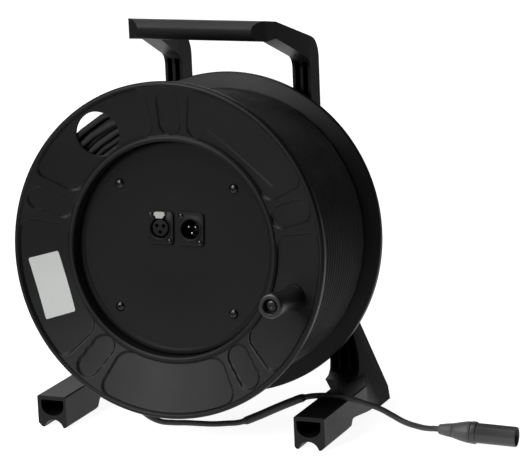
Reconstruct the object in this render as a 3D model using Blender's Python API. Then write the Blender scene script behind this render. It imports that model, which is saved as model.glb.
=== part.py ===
"""A carrying frame with a cable drum, the microphone cable wound on it and the cable's free end.

Units are metres and +Z is up. The front of the drum faces -Y. The origin is on the floor, under the
middle of the rigid object. The drum pieces are modelled in the drum's own frame, where Y runs
backwards along the axle from the front edge of the front flange, and an empty tilts them.
"""

import math

import bmesh
import bpy
from mathutils import Matrix, Vector

MM = 0.001
GAP = 0.3 * MM  # between pieces that touch

# Drum: driving sizes
LEAN = math.radians(6)  # the axle rises this much towards the front
FLOOR_CLEARANCE = 26 * MM  # under the flange, if the drum stood upright
DRUM_FRONT = -75.8 * MM
FLANGE_RADIUS = 156 * MM
FLANGE_THICK = 8 * MM  # at the rim
FLANGE_BEAD = 4.5 * MM  # width of the raised rim
BEAD_HEIGHT = 1.5 * MM
DISH_DEPTH = 12 * MM  # the front flange's face sinks this much from its rim to its lip
DISH_WALL = 3.5 * MM
WINDING_WIDTH = 140 * MM
BARREL_RADIUS = 104.5 * MM
BARREL_WALL = 4.5 * MM
LIP_WIDTH = 5 * MM  # raised ring round the hub recess
RECESS_DEPTH = 25.5 * MM  # front flange's edge to the connector plate
PLATE_THICK = 2 * MM
PLATE_RIM = (5.5 * MM, 1 * MM)  # width and height of the plate's raised rim
LEDGE_THICK = 3.2 * MM
LEDGE_WIDTH = 30 * MM
FACE_STEPS = 45  # a multiple of the pockets' number, so that all pockets are alike
ROUND_STEPS = 16
SCREW_STEPS = 8

# Pockets in the front flange
POCKET_DEPTH = 1.7 * MM
POCKET_MARGIN = 0.6 * MM  # from a pocket to the lip and to the rim
POCKET_COUNT = 5
FIRST_POCKET = math.radians(54)
POCKET_HALF_ANGLE = math.radians(27.5)
POCKET_CORNERS = (14 * MM, 9 * MM)  # inner and outer
PILL_WIDTH = 21 * MM
PILL_OUTER_MARGIN = 2.5 * MM  # from a pill's outer end to the rim
WINDOW_RADIUS = 20.7 * MM
WINDOW_PLACE = 127.5 * MM
WINDOW_ANGLE = math.radians(124.5)

# Axle, bushes and washers
AXLE_RADIUS = 12 * MM
AXLE_HEAD_RADIUS = 19 * MM
AXLE_HEAD_THICK = 9 * MM
HUB_WALL = 5.7 * MM
HUB_LENGTH = 64 * MM
BUSH_WALL = 1.7 * MM
BUSH_LENGTH = 12 * MM
BUSH_FLANGE = 1.5 * MM
WASHER_RADIUS = 18 * MM
WASHER_THICK = 2 * MM
BOSS_RADIUS = 26 * MM
BOSS_PROUD = 1.6 * MM  # behind the hub carrier's wall
NUT_THICK = 9 * MM

# Screws
PLATE_SCREW_INSET = 18.3 * MM  # from the recess wall
PLATE_SCREW_HEAD = 4.6 * MM
PLATE_SCREW_SHANK = 1.8 * MM
PLATE_SCREW_LENGTH = 13 * MM
TIE_INSET = 12.5 * MM  # from the recess wall
TIE_RADIUS = 2.5 * MM
TIE_HEAD = 4.6 * MM
POST_WALL = 2.7 * MM

# Sockets: the usual 26 by 31 mm flange on a 19 by 24 mm screw pattern
SOCKET_SPREAD = 15.3 * MM
SOCKET_HEIGHT = 18.5 * MM
SOCKET_WIDTH = 26 * MM
SOCKET_TALL = 31 * MM
SOCKET_FLANGE = 2 * MM
SOCKET_CORNER = 4 * MM
SOCKET_SCREWS = (19 * MM, 24 * MM)
SOCKET_BODY = 11.8 * MM
SOCKET_BORE = 9.7 * MM
SOCKET_DEPTH = 20 * MM
SOCKET_SCREW_HEAD = 2.6 * MM
SOCKET_SCREW_SHANK = 1.4 * MM
CONTACT_CIRCLE = 3.9 * MM
PIN_RADIUS = 1.2 * MM
PIN_LENGTH = 12 * MM
CORE_RADIUS = 7.9 * MM
TAB_WIDTH = 11 * MM
TAB_TALL = 6 * MM
TAB_STEM = 6 * MM
TAB_NECK = 6.6 * MM  # the tab's lower part

# Crank knob
KNOB_PLACE = 130 * MM
KNOB_ANGLE = math.radians(-16)
KNOB_REACH = 50 * MM  # in front of the flange's front edge
KNOB_RADIUS = 11.5 * MM
KNOB_PIN = 3.5 * MM
KNOB_PIN_HEAD = 5.4 * MM

# Microphone cable
CABLE = 5.5 * MM
TURN_GAP = 0.5 * MM  # the least between two turns
SIDE_MARGIN = 0.6 * MM
WINDING_OUTER = 141.5 * MM
LOOP_POINTS = 20
START_ANGLE = math.radians(-90)
CLIMB_ANGLE = math.radians(30)
CROSS_ANGLE = math.radians(50)
EXIT_ANGLE = math.radians(-140)
EXIT_PLACE = 60 * MM  # along the drum
STUB_LENGTH = 46 * MM
STUB_SLOPE = -0.08
SLEEVE_RADIUS = 4 * MM

# Carrying frame
UPRIGHT_CLEARANCE = 11.75 * MM  # from the rear flange's top to the uprights
UPRIGHT_DEPTH = 22.8 * MM
UPRIGHT_OUTER = 76.6 * MM
UPRIGHT_WIDTH = 18.8 * MM
KNEE_HEIGHT = 137 * MM  # where the splayed leg becomes the upright
FOOT_OUTER = 147 * MM
FOOT_WIDTH = 30.2 * MM
FOOT_FRONT = -65.3 * MM
FOOT_HEIGHT = 31 * MM
LEG_WIDTH_HEIGHT = 45 * MM  # up to here the leg keeps the foot's width
HAND_CLEARANCE = 25 * MM  # from the drum to the underside of the handle
HANDLE_THICK = 19.4 * MM
SHOULDER_DROP = 29.8 * MM  # from the handle's top to the rear end of the arms
HANDLE_JOINT = 37.2 * MM
HANDLE_OUTER = 70.2 * MM
FRAME_WALL = 3 * MM
BACK_WALL = 4 * MM
TONGUE = 7.5 * MM
FRAME_SCREW = 2 * MM

# Plug: it lies on its ring and on the front end of its shell
PLUG_RADIUS = 9.3 * MM
PLUG_LENGTH = 74 * MM
PLUG_RING = 10.4 * MM
RING_PLACE = (31.5 * MM, 36.5 * MM)
BOOT_LENGTH = 13 * MM
PLUG_WALL = 1.1 * MM
PLUG_PLACE = Vector((237.1, -7.7, 0)) * MM
PLUG_TURN = math.radians(1.6)

# Sizes that follow from these
AXLE_HEIGHT = FLANGE_RADIUS + FLOOR_CLEARANCE  # at the front edge of the front flange
DRUM_DEPTH = 2 * FLANGE_THICK + WINDING_WIDTH
UPRIGHT_FRONT = DRUM_FRONT + DRUM_DEPTH * math.cos(LEAN) + FLANGE_RADIUS * math.sin(LEAN) + UPRIGHT_CLEARANCE
FRAME_REAR = UPRIGHT_FRONT + UPRIGHT_DEPTH
ARM_UNDER_FRONT = AXLE_HEIGHT + FLANGE_RADIUS + HAND_CLEARANCE
HANDLE_TOP = ARM_UNDER_FRONT + HANDLE_THICK
SHOULDER_HEIGHT = HANDLE_TOP - SHOULDER_DROP


def clear_scene():
    for thing in list(bpy.data.objects):
        bpy.data.objects.remove(thing)


def finish(name, colour, roughness, metallic=0.0):
    """A Principled material; colour is a grey level or three values."""
    made = bpy.data.materials.new(name)
    made.use_nodes = True
    shader = made.node_tree.nodes["Principled BSDF"]
    rgb = colour if isinstance(colour, tuple) else (colour, colour, colour)
    shader.inputs["Base Color"].default_value = (*rgb, 1)
    shader.inputs["Roughness"].default_value = roughness
    shader.inputs["Metallic"].default_value = metallic
    return made


def empty(name, place, turn):
    made = bpy.data.objects.new(name, None)
    bpy.context.scene.collection.objects.link(made)
    made.location = place
    made.rotation_euler = turn
    return made


def add(name, mesh, material=None, parent=None, smooth=30):
    """An object from a bmesh, shaded smooth below the given angle."""
    bmesh.ops.recalc_face_normals(mesh, faces=mesh.faces)
    data = bpy.data.meshes.new(name)
    mesh.to_mesh(data)
    mesh.free()
    data.shade_smooth()
    data.set_sharp_from_angle(angle=math.radians(smooth))
    made = bpy.data.objects.new(name, data)
    bpy.context.scene.collection.objects.link(made)
    made.parent = parent
    if material:
        data.materials.append(material)
    return made


def tool(name, mesh, parent=None):
    """A cutter or a shape to join: it stays out of the model."""
    made = add(name, mesh, parent=parent)
    made.hide_render = True
    made.display_type = "WIRE"
    return made


def combine(target, operation, *tools):
    for each in tools:
        step = target.modifiers.new(operation.lower() + " " + each.name, "BOOLEAN")
        step.operation = operation
        step.object = each
        step.solver = "EXACT"


def turned(outline, steps=FACE_STEPS, closed=True, centre=(0, 0)):
    """Points of (y, radius) turned round an axis along Y. An open outline starts and ends on the axis."""
    mesh = bmesh.new()
    corners = [mesh.verts.new((r, y, 0)) for y, r in outline]
    ends = corners[1:] + corners[:1] if closed else corners[1:]
    edges = [mesh.edges.new(pair) for pair in zip(corners, ends)]
    bmesh.ops.spin(mesh, geom=corners + edges, cent=(0, 0, 0), axis=(0, 1, 0),
                   dvec=(0, 0, 0), angle=math.tau, steps=steps, use_merge=True)
    bmesh.ops.remove_doubles(mesh, verts=mesh.verts, dist=1e-7)
    bmesh.ops.translate(mesh, vec=(centre[0], 0, centre[1]), verts=mesh.verts)
    return mesh


def extruded(points, travel):
    """A flat outline pushed along the travel vector."""
    mesh = bmesh.new()
    face = mesh.faces.new([mesh.verts.new(p) for p in points])
    side = bmesh.ops.extrude_face_region(mesh, geom=[face])["geom"]
    moved = [g for g in side if isinstance(g, bmesh.types.BMVert)]
    bmesh.ops.translate(mesh, vec=travel, verts=moved)
    return mesh


def slab_x(outline, low, high):
    return extruded([(low, y, z) for y, z in outline], (high - low, 0, 0))


def slab_y(outline, low, high):
    return extruded([(x, low, z) for x, z in outline], (0, high - low, 0))


def slab_z(outline, low, high):
    return extruded([(x, y, low) for x, y in outline], (0, 0, high - low))


def block(x, y, z):
    """A box from three (low, high) pairs."""
    return slab_z([(x[0], y[0]), (x[1], y[0]), (x[1], y[1]), (x[0], y[1])], *z)


def together(*meshes):
    """Several loose shapes in one mesh, for a single cutter."""
    whole = bmesh.new()
    for each in meshes:
        data = bpy.data.meshes.new("loose")
        bmesh.ops.recalc_face_normals(each, faces=each.faces)
        each.to_mesh(data)
        each.free()
        whole.from_mesh(data)
        bpy.data.meshes.remove(data)
    return whole


def rod(radius, low, high, centre=(0, 0), steps=ROUND_STEPS):
    """A plain cylinder along Y."""
    return turned([(low, 0), (low, radius), (high, radius), (high, 0)], steps, False, centre)


def ring_spots(radius, count, first=0.0):
    turns = [first + math.tau * i / count for i in range(count)]
    return [(radius * math.cos(a), radius * math.sin(a)) for a in turns]


def arc(centre, radius, start, end, steps):
    """Points of an arc; a pair of radii gives an ellipse. Angles in degrees."""
    wide, tall = radius if isinstance(radius, tuple) else (radius, radius)
    turns = [math.radians(start + (end - start) * i / steps) for i in range(steps + 1)]
    return [(centre[0] + wide * math.cos(a), centre[1] + tall * math.sin(a)) for a in turns]


def rounded_box(width, tall, corner, centre, steps=4):
    x, z = width / 2 - corner, tall / 2 - corner
    points = []
    for i, (across, up) in enumerate(((x, z), (-x, z), (-x, -z), (x, -z))):
        spot = (centre[0] + across, centre[1] + up)
        points += arc(spot, corner, 90 * i, 90 * i + 90, steps)
    return points


# The drum stands on its own tilted frame
clear_scene()
drum = empty("drum_axis", (0, DRUM_FRONT, AXLE_HEIGHT), (-LEAN, 0, 0))

black_plastic = finish("black_plastic", 0.018, 0.42)
inner_plastic = finish("inner_plastic", 0.03, 0.5)
plate_black = finish("plate_black", 0.014, 0.5)
screw_black = finish("screw_black", 0.02, 0.35, 0.6)
zinc_steel = finish("zinc_steel", 0.5, 0.35, 1.0)
bush_plastic = finish("bush_plastic", 0.55, 0.5)
contact_metal = finish("contact_metal", 0.7, 0.25, 1.0)
socket_black = finish("socket_black", 0.016, 0.38)
tab_plastic = finish("tab_plastic", (0.58, 0.58, 0.54), 0.4)
cable_black = finish("cable_black", 0.02, 0.55)
rubber_black = finish("rubber_black", 0.017, 0.7)

BARREL_BORE = BARREL_RADIUS - BARREL_WALL
BARREL_SPLIT = DRUM_DEPTH / 2
LIP_OUTER = BARREL_BORE + LIP_WIDTH
EDGE = 1.2 * MM  # rounding of the flange's outer edges
PLATE_BACK = RECESS_DEPTH + PLATE_THICK
LEDGE_FRONT = PLATE_BACK + GAP
LEDGE_BACK = LEDGE_FRONT + LEDGE_THICK
LEDGE_INNER = BARREL_BORE - LEDGE_WIDTH
BEAD_INNER = FLANGE_RADIUS - FLANGE_BEAD
POCKET_INNER = LIP_OUTER + POCKET_MARGIN
POCKET_OUTER = BEAD_INNER - POCKET_MARGIN
DISH_SLOPE = DISH_DEPTH / (BEAD_INNER - LIP_OUTER)


def dish(r):
    """How far behind the drum's front the flange's dished face lies at this radius."""
    return BEAD_HEIGHT + (BEAD_INNER - r) * DISH_SLOPE


def dish_back(r):
    """The same for the winding side, which follows the dish up to the thick rim."""
    return max(dish(r) + DISH_WALL, FLANGE_THICK)


DISH_BACK_EDGE = BEAD_INNER - (FLANGE_THICK - DISH_WALL - BEAD_HEIGHT) / DISH_SLOPE  # where rim and dish meet


def flange_rim():
    """The rim's section, from the winding side to the foot of its bead in front."""
    return [(FLANGE_THICK, FLANGE_RADIUS - EDGE), (FLANGE_THICK - EDGE, FLANGE_RADIUS), (EDGE, FLANGE_RADIUS),
            (0, FLANGE_RADIUS - EDGE), (0, BEAD_INNER + BEAD_HEIGHT / 2), (BEAD_HEIGHT, BEAD_INNER)]


def pocket_outline(middle):
    """A kidney: both long sides follow the flange, and the ends run along a radius."""
    inner, outer = POCKET_CORNERS
    points = []
    for corner, r, side, start in ((outer, POCKET_OUTER - outer, 1, 0), (inner, POCKET_INNER + inner, 1, 90),
                                   (inner, POCKET_INNER + inner, -1, 180), (outer, POCKET_OUTER - outer, -1, 270)):
        reach = side * (POCKET_HALF_ANGLE - corner / r)
        for radial, across in arc((0, 0), corner, start, start + 90, 3):
            points.append((r + radial, middle + reach + across / r))
        if start in (90, 270):
            edge = POCKET_INNER if start == 90 else POCKET_OUTER
            points += [(edge, middle + reach * share) for share in (0.5, 0, -0.5)]
    return [(r * math.cos(a), r * math.sin(a)) for r, a in points]


def pill_outline(middle):
    half = PILL_WIDTH / 2
    inner, outer = POCKET_INNER, BEAD_INNER - PILL_OUTER_MARGIN
    along = (outer - inner) / 2 - half
    place = (outer + inner) / 2
    points = arc((place + along, 0), half, -90, 90, 5) + arc((place - along, 0), half, 90, 270, 5)
    turn = Matrix.Rotation(middle, 2)
    return [tuple(turn @ Vector(p)) for p in points]


def in_front_of_dish(name, shape, behind):
    """Trims a shape to what lies in front of the dished face, moved back by this much."""
    ends = (BARREL_BORE, FLANGE_RADIUS)
    region = [(-2 * MM, r) for r in ends] + [(dish(r) + behind, r) for r in ends[::-1]]
    made = tool(name, shape, drum)
    combine(made, "INTERSECT", tool(name + "_trim", turned(region), drum))
    return made


def front_flange():
    lip = dish(LIP_OUTER)
    outline = flange_rim()
    outline += [(lip, LIP_OUTER), (lip - BEAD_HEIGHT, LIP_OUTER - BEAD_HEIGHT / 2),
                (lip - BEAD_HEIGHT, BARREL_BORE + BEAD_HEIGHT), (lip, BARREL_BORE), (LEDGE_FRONT, BARREL_BORE),
                (LEDGE_FRONT, LEDGE_INNER), (LEDGE_BACK, LEDGE_INNER), (LEDGE_BACK, BARREL_BORE),
                (BARREL_SPLIT - GAP / 2, BARREL_BORE), (BARREL_SPLIT - GAP / 2, BARREL_RADIUS),
                (dish_back(BARREL_RADIUS), BARREL_RADIUS), (FLANGE_THICK, DISH_BACK_EDGE)]
    made = add("front_flange", turned(outline), black_plastic, drum)
    step = math.tau / POCKET_COUNT
    pockets = [pocket_outline(FIRST_POCKET + step * i) for i in range(POCKET_COUNT)]
    pockets += [pill_outline(FIRST_POCKET + step * (i + 0.5)) for i in range(POCKET_COUNT)]
    cuts = in_front_of_dish("flange_pockets", together(*[slab_y(p, -MM, LEDGE_FRONT) for p in pockets]), POCKET_DEPTH)
    seat = in_front_of_dish("knob_seat", rod(KNOB_RADIUS + 0.5 * MM, KNOB_SEAT, LEDGE_FRONT, knob_spot, 14),
                            POCKET_DEPTH + MM)
    bosses = together(*[rod(TIE_RADIUS + POST_WALL, LEDGE_BACK - MM, POST_SPLIT - GAP / 2, p, 10) for p in tie_spots],
                      *[rod(PLATE_SCREW_SHANK + 3.2 * MM, LEDGE_BACK - MM, LEDGE_BACK + 12 * MM, p, SCREW_STEPS)
                        for p in plate_screw_spots])
    window = rod(WINDOW_RADIUS, -MM, dish_back(BARREL_RADIUS) + MM, window_spot, 28)
    bores = together(window, rod(KNOB_PIN + GAP, -MM, KNOB_PIN_END + 0.2 * MM, knob_spot, 16),
                     *[rod(TIE_RADIUS + GAP, LEDGE_BACK, POST_SPLIT + MM, p, SCREW_STEPS) for p in tie_spots],
                     *[rod(PLATE_SCREW_SHANK + GAP, LEDGE_FRONT - MM, LEDGE_BACK + 10 * MM, p, SCREW_STEPS)
                       for p in plate_screw_spots])
    combine(made, "DIFFERENCE", cuts)
    combine(made, "UNION", seat, tool("ledge_bosses", bosses, drum))
    combine(made, "DIFFERENCE", tool("flange_bores", bores, drum))


plate_screw_spots = ring_spots(BARREL_BORE - PLATE_SCREW_INSET, 4, math.radians(45))
tie_spots = ring_spots(BARREL_BORE - TIE_INSET, 3, math.radians(30))
knob_spot = (KNOB_PLACE * math.cos(KNOB_ANGLE), KNOB_PLACE * math.sin(KNOB_ANGLE))
window_spot = (WINDOW_PLACE * math.cos(WINDOW_ANGLE), WINDOW_PLACE * math.sin(WINDOW_ANGLE))
POST_SPLIT = LEDGE_BACK + 26 * MM
KNOB_SEAT = dish(KNOB_PLACE + KNOB_RADIUS + MM) + POCKET_DEPTH - 0.5 * MM
KNOB_PIN_END = dish(KNOB_PLACE) + DISH_WALL - 1.3 * MM

HUB_BORE = AXLE_RADIUS + GAP + BUSH_WALL + GAP
HUB_OUTER = HUB_BORE + HUB_WALL
HUB_FRONT = DRUM_DEPTH - HUB_LENGTH
WEB_FRONT = DRUM_DEPTH - 6 * MM
WEB_BACK = WEB_FRONT + 3 * MM


def rear_flange():
    """Its outside is flat between the rim's bead and the lip."""
    outline = [(DRUM_DEPTH - y, r) for y, r in flange_rim()]
    outline += [(DRUM_DEPTH - BEAD_HEIGHT, LIP_OUTER), (DRUM_DEPTH, LIP_OUTER - BEAD_HEIGHT / 2),
                (DRUM_DEPTH, BARREL_BORE + BEAD_HEIGHT / 2),
                (WEB_BACK, BARREL_BORE), (WEB_BACK, HUB_OUTER), (DRUM_DEPTH, HUB_OUTER - EDGE), (DRUM_DEPTH, HUB_BORE),
                (HUB_FRONT, HUB_BORE), (HUB_FRONT, HUB_OUTER),
                (WEB_FRONT, HUB_OUTER), (WEB_FRONT, BARREL_BORE), (BARREL_SPLIT + GAP / 2, BARREL_BORE),
                (BARREL_SPLIT + GAP / 2, BARREL_RADIUS), (DRUM_DEPTH - FLANGE_THICK, BARREL_RADIUS)]
    made = add("rear_flange", turned(outline), black_plastic, drum)
    ribs = []
    for i in range(6):
        rib = block((HUB_OUTER - MM, BARREL_BORE + MM), (WEB_FRONT - 25 * MM, WEB_FRONT + MM), (-1.3 * MM, 1.3 * MM))
        bmesh.ops.rotate(rib, cent=(0, 0, 0), matrix=Matrix.Rotation(math.tau * i / 6, 3, "Y"), verts=rib.verts)
        ribs.append(rib)
    posts = [rod(TIE_RADIUS + POST_WALL, POST_SPLIT + GAP / 2, WEB_FRONT + MM, p, 10) for p in tie_spots]
    bores = [rod(TIE_RADIUS + GAP, POST_SPLIT - MM, DRUM_DEPTH, p, SCREW_STEPS) for p in tie_spots]
    combine(made, "UNION", tool("rear_ribs", together(*ribs), drum), tool("tie_posts", together(*posts), drum))
    combine(made, "DIFFERENCE", tool("tie_bores", together(*bores), drum))


front_flange()
rear_flange()


def screw(name, spot, seat, head, head_thick, shank, length, material=screw_black, turn=1):
    """A round-headed screw along Y. Its head rises to the front of seat, or with turn -1 to the back."""
    dome = [(seat - turn * head_thick * math.sin(math.radians(a)), head * math.cos(math.radians(a)))
            for a in (0, 50)]
    outline = [(seat - turn * head_thick, 0)] + dome[::-1]
    outline += [(seat, shank), (seat + turn * length, shank), (seat + turn * length, 0)]
    return add(name, turned(outline, SCREW_STEPS, False, spot), material, drum)


def tie_screws():
    for i, spot in enumerate(tie_spots):
        screw(f"tie_screw_{i + 1}", spot, WEB_BACK + GAP, TIE_HEAD, 2.6 * MM, TIE_RADIUS,
              WEB_BACK - LEDGE_BACK - 2 * MM, zinc_steel, -1)


tie_screws()


# Connector plate in the hub recess
def socket_screw_spots(side):
    x, z = SOCKET_SCREWS[0] / 2, SOCKET_SCREWS[1] / 2
    return [(side * SOCKET_SPREAD - x, SOCKET_HEIGHT + z), (side * SOCKET_SPREAD + x, SOCKET_HEIGHT - z)]


def connector_plate():
    outer = BARREL_BORE - 2 * GAP
    (width, height), face = PLATE_RIM, RECESS_DEPTH
    outline = [(face, 0), (face, outer - width), (face - height, outer - width + height), (face - height, outer),
               (PLATE_BACK, outer), (PLATE_BACK, 0)]
    made = add("connector_plate", turned(outline, closed=False), plate_black, drum)
    low, high = RECESS_DEPTH - MM, PLATE_BACK + MM
    holes = [rod(PLATE_SCREW_SHANK + GAP, low, high, p, SCREW_STEPS) for p in plate_screw_spots]
    for side in (-1, 1):
        holes.append(rod(SOCKET_BODY + GAP, low, high, (side * SOCKET_SPREAD, SOCKET_HEIGHT)))
        holes += [rod(SOCKET_SCREW_SHANK + GAP, low, high, p, SCREW_STEPS) for p in socket_screw_spots(side)]
    combine(made, "DIFFERENCE", tool("plate_holes", together(*holes), drum))
    for i, spot in enumerate(plate_screw_spots):
        screw(f"plate_screw_{i + 1}", spot, RECESS_DEPTH - GAP, PLATE_SCREW_HEAD, 2.2 * MM, PLATE_SCREW_SHANK,
              PLATE_SCREW_LENGTH)


connector_plate()

SOCKET_FRONT = RECESS_DEPTH - GAP - SOCKET_FLANGE
INSERT_FRONT = SOCKET_FRONT + 14 * MM
contact_spots = [(CONTACT_CIRCLE * math.cos(a), CONTACT_CIRCLE * math.sin(a))
                 for a in (math.radians(150), math.radians(30), math.radians(270))]


def socket_shell(name, side, bore):
    centre = (side * SOCKET_SPREAD, SOCKET_HEIGHT)
    flange = slab_y(rounded_box(SOCKET_WIDTH, SOCKET_TALL, SOCKET_CORNER, centre), SOCKET_FRONT,
                    SOCKET_FRONT + SOCKET_FLANGE)
    made = add(name, flange, socket_black, drum)
    body = rod(SOCKET_BODY, SOCKET_FRONT + MM, SOCKET_FRONT + SOCKET_DEPTH, centre, 20)
    rim = rod(SOCKET_BODY - 0.6 * MM, SOCKET_FRONT - 0.8 * MM, SOCKET_FRONT + MM, centre, 20)
    holes = [rod(bore, SOCKET_FRONT - 2 * MM, SOCKET_FRONT + SOCKET_DEPTH + MM, centre, 20)]
    holes += [rod(SOCKET_SCREW_SHANK + GAP, SOCKET_FRONT - MM, RECESS_DEPTH, p, SCREW_STEPS)
              for p in socket_screw_spots(side)]
    combine(made, "UNION", tool(name + "_body", body, drum), tool(name + "_rim", rim, drum))
    combine(made, "DIFFERENCE", tool(name + "_holes", together(*holes), drum))
    for i, spot in enumerate(socket_screw_spots(side)):
        number = i + 1 if side < 0 else i + 3
        screw(f"socket_screw_{number}", spot, SOCKET_FRONT - GAP, SOCKET_SCREW_HEAD, 1.3 * MM, SOCKET_SCREW_SHANK,
              8 * MM)
    return made, centre


def contact_insert(name, centre, radius, holes_from, front, back, core=None):
    """The disc that carries the contacts, with a core in front of it on a female one."""
    outline = [(front, 0), (front, radius), (back, radius), (back, 0)]
    if core:
        outline = [(core, 0), (core, CORE_RADIUS - 0.5 * MM), (core + 0.5 * MM, CORE_RADIUS),
                   (front, CORE_RADIUS), (front, radius), (back, radius), (back, 0)]
    made = add(name, turned(outline, ROUND_STEPS, False, centre), inner_plastic, drum)
    spots = [(centre[0] + x, centre[1] + z) for x, z in contact_spots]
    holes = together(*[rod(PIN_RADIUS + GAP, holes_from, holes_from + 15 * MM, p, 8) for p in spots])
    combine(made, "DIFFERENCE", tool(name + "_holes", holes, drum))
    return spots


def tab_outline(middle, low):
    """A wide rounded head over a narrower neck."""
    top, shoulder = low + TAB_TALL, low + TAB_TALL - 3.6 * MM
    head = arc((TAB_WIDTH / 2 - 2 * MM, top - 2 * MM), 2 * MM, 90, 0, 3)
    side = head + [(TAB_WIDTH / 2, shoulder + 0.8 * MM), (TAB_WIDTH / 2 - 0.8 * MM, shoulder),
                   (TAB_NECK / 2 + 0.6 * MM, shoulder - 0.6 * MM), (TAB_NECK / 2, low)]
    return [(middle + x, z) for x, z in side] + [(middle - x, z) for x, z in side[::-1]]


def sockets():
    shell, centre = socket_shell("female_socket", -1, SOCKET_BORE)
    back = SOCKET_FRONT + SOCKET_DEPTH - 0.5 * MM
    contact_insert("female_insert", centre, SOCKET_BORE - GAP, SOCKET_FRONT - MM, INSERT_FRONT, back, SOCKET_FRONT)
    tab_low = centre[1] + SOCKET_BORE - 0.6 * MM
    notch = block((centre[0] - TAB_WIDTH / 2 - 0.4 * MM, centre[0] + TAB_WIDTH / 2 + 0.4 * MM),
                  (SOCKET_FRONT - 2 * MM, SOCKET_FRONT + SOCKET_FLANGE + 0.1 * MM),
                  (tab_low - 0.4 * MM, centre[1] + SOCKET_TALL))
    slot = block((centre[0] - TAB_STEM / 2 - 0.4 * MM, centre[0] + TAB_STEM / 2 + 0.4 * MM),
                 (SOCKET_FRONT, SOCKET_FRONT + 12 * MM), (tab_low - 0.4 * MM, centre[1] + SOCKET_BODY + MM))
    combine(shell, "DIFFERENCE", tool("tab_notch", notch, drum), tool("tab_slot", slot, drum))
    tab_front = SOCKET_FRONT - 2.4 * MM
    tab = add("release_tab", slab_y(tab_outline(centre[0], tab_low), tab_front, tab_front + 2.9 * MM), tab_plastic, drum)
    stem = block((centre[0] - TAB_STEM / 2, centre[0] + TAB_STEM / 2), (tab_front + MM, SOCKET_FRONT + 9 * MM),
                 (tab_low, tab_low + 1.8 * MM))
    combine(tab, "UNION", tool("tab_stem", stem, drum))
    shell, centre = socket_shell("male_socket", 1, SOCKET_BORE - 0.4 * MM)
    spots = contact_insert("male_insert", centre, SOCKET_BORE - 0.4 * MM - GAP, INSERT_FRONT - MM, INSERT_FRONT, back)
    for i, spot in enumerate(spots):
        tip = INSERT_FRONT - PIN_LENGTH + 1.5 * MM
        outline = [(tip, 0), (tip, PIN_RADIUS * 0.6), (tip + 0.6 * MM, PIN_RADIUS), (back + 2 * MM, PIN_RADIUS),
                   (back + 2 * MM, 0)]
        add(f"socket_pin_{i + 1}", turned(outline, 8, False, spot), contact_metal, drum)


sockets()


# Crank knob on its pin
def knob():
    root = KNOB_SEAT - GAP
    front = -KNOB_REACH
    recess = front + 6 * MM
    bore = KNOB_PIN + 0.4 * MM
    outline = [(front, KNOB_PIN_HEAD + 1.6 * MM), (front, KNOB_RADIUS - 2.5 * MM), (front + 0.8 * MM, KNOB_RADIUS - MM),
               (front + 2.6 * MM, KNOB_RADIUS), (front + 9 * MM, KNOB_RADIUS), (front + 22 * MM, KNOB_RADIUS - 1.3 * MM),
               (root - 10 * MM, KNOB_RADIUS - 1.9 * MM), (root - 3 * MM, KNOB_RADIUS - 1.2 * MM),
               (root, KNOB_RADIUS - 0.8 * MM), (root, bore), (recess, bore), (recess, KNOB_PIN_HEAD + 0.7 * MM)]
    grip = add("knob_grip", turned(outline, ROUND_STEPS), black_plastic, drum)
    grip.location = (knob_spot[0], 0, knob_spot[1])
    pin = [(recess - 2.6 * MM - GAP, 0), (recess - 2.6 * MM - GAP, KNOB_PIN_HEAD - 0.5 * MM),
           (recess - 2 * MM - GAP, KNOB_PIN_HEAD), (recess - GAP, KNOB_PIN_HEAD), (recess - GAP, KNOB_PIN),
           (KNOB_PIN_END - GAP, KNOB_PIN), (KNOB_PIN_END - GAP, 0)]
    add("knob_pin", turned(pin, 12, False, knob_spot), zinc_steel, drum)


knob()


# Axle, bushes, washers and nut
def ring(name, low, high, outer, inner, material, parent=drum, steps=ROUND_STEPS):
    outline = [(low, inner), (low, outer), (high, outer), (high, inner)]
    return add(name, turned(outline, steps), material, parent)


def bush(name, end, way):
    """A flanged bush pushed into the hub from the end, inwards along way."""
    inner, outer, rim = AXLE_RADIUS + GAP, HUB_BORE - GAP, HUB_OUTER - 2 * MM
    seat = end - way * GAP
    outline = [(seat - way * BUSH_FLANGE, inner), (seat - way * BUSH_FLANGE, rim), (seat, rim), (seat, outer),
               (seat + way * BUSH_LENGTH, outer), (seat + way * BUSH_LENGTH, inner)]
    add(name, turned(outline, ROUND_STEPS), bush_plastic, drum)


bush("front_bush", HUB_FRONT, 1)
bush("rear_bush", DRUM_DEPTH, -1)

HEAD_WASHER_BACK = HUB_FRONT - 2 * GAP - BUSH_FLANGE
THRUST_FRONT = DRUM_DEPTH + 2 * GAP + BUSH_FLANGE
BOSS_FRONT = THRUST_FRONT + WASHER_THICK + GAP
CARRIER_FRONT = FRAME_REAR - 26.2 * MM
CARRIER_BACK = FRAME_REAR - 2.2 * MM
CARRIER_WALL = 8 * MM
BOSS_BACK = (CARRIER_FRONT + CARRIER_WALL + BOSS_PROUD - DRUM_FRONT) / math.cos(LEAN)
AXLE_HOLE = AXLE_RADIUS + GAP

ring("head_washer", HEAD_WASHER_BACK - WASHER_THICK, HEAD_WASHER_BACK, WASHER_RADIUS, AXLE_HOLE, zinc_steel)
ring("thrust_washer", THRUST_FRONT, THRUST_FRONT + WASHER_THICK, WASHER_RADIUS, AXLE_HOLE, zinc_steel)
ring("nut_washer", BOSS_BACK + GAP, BOSS_BACK + GAP + WASHER_THICK, WASHER_RADIUS, AXLE_HOLE, zinc_steel)


def hexagon(radius):
    return [(radius * math.cos(math.tau * i / 6), radius * math.sin(math.tau * i / 6)) for i in range(6)]


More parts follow.
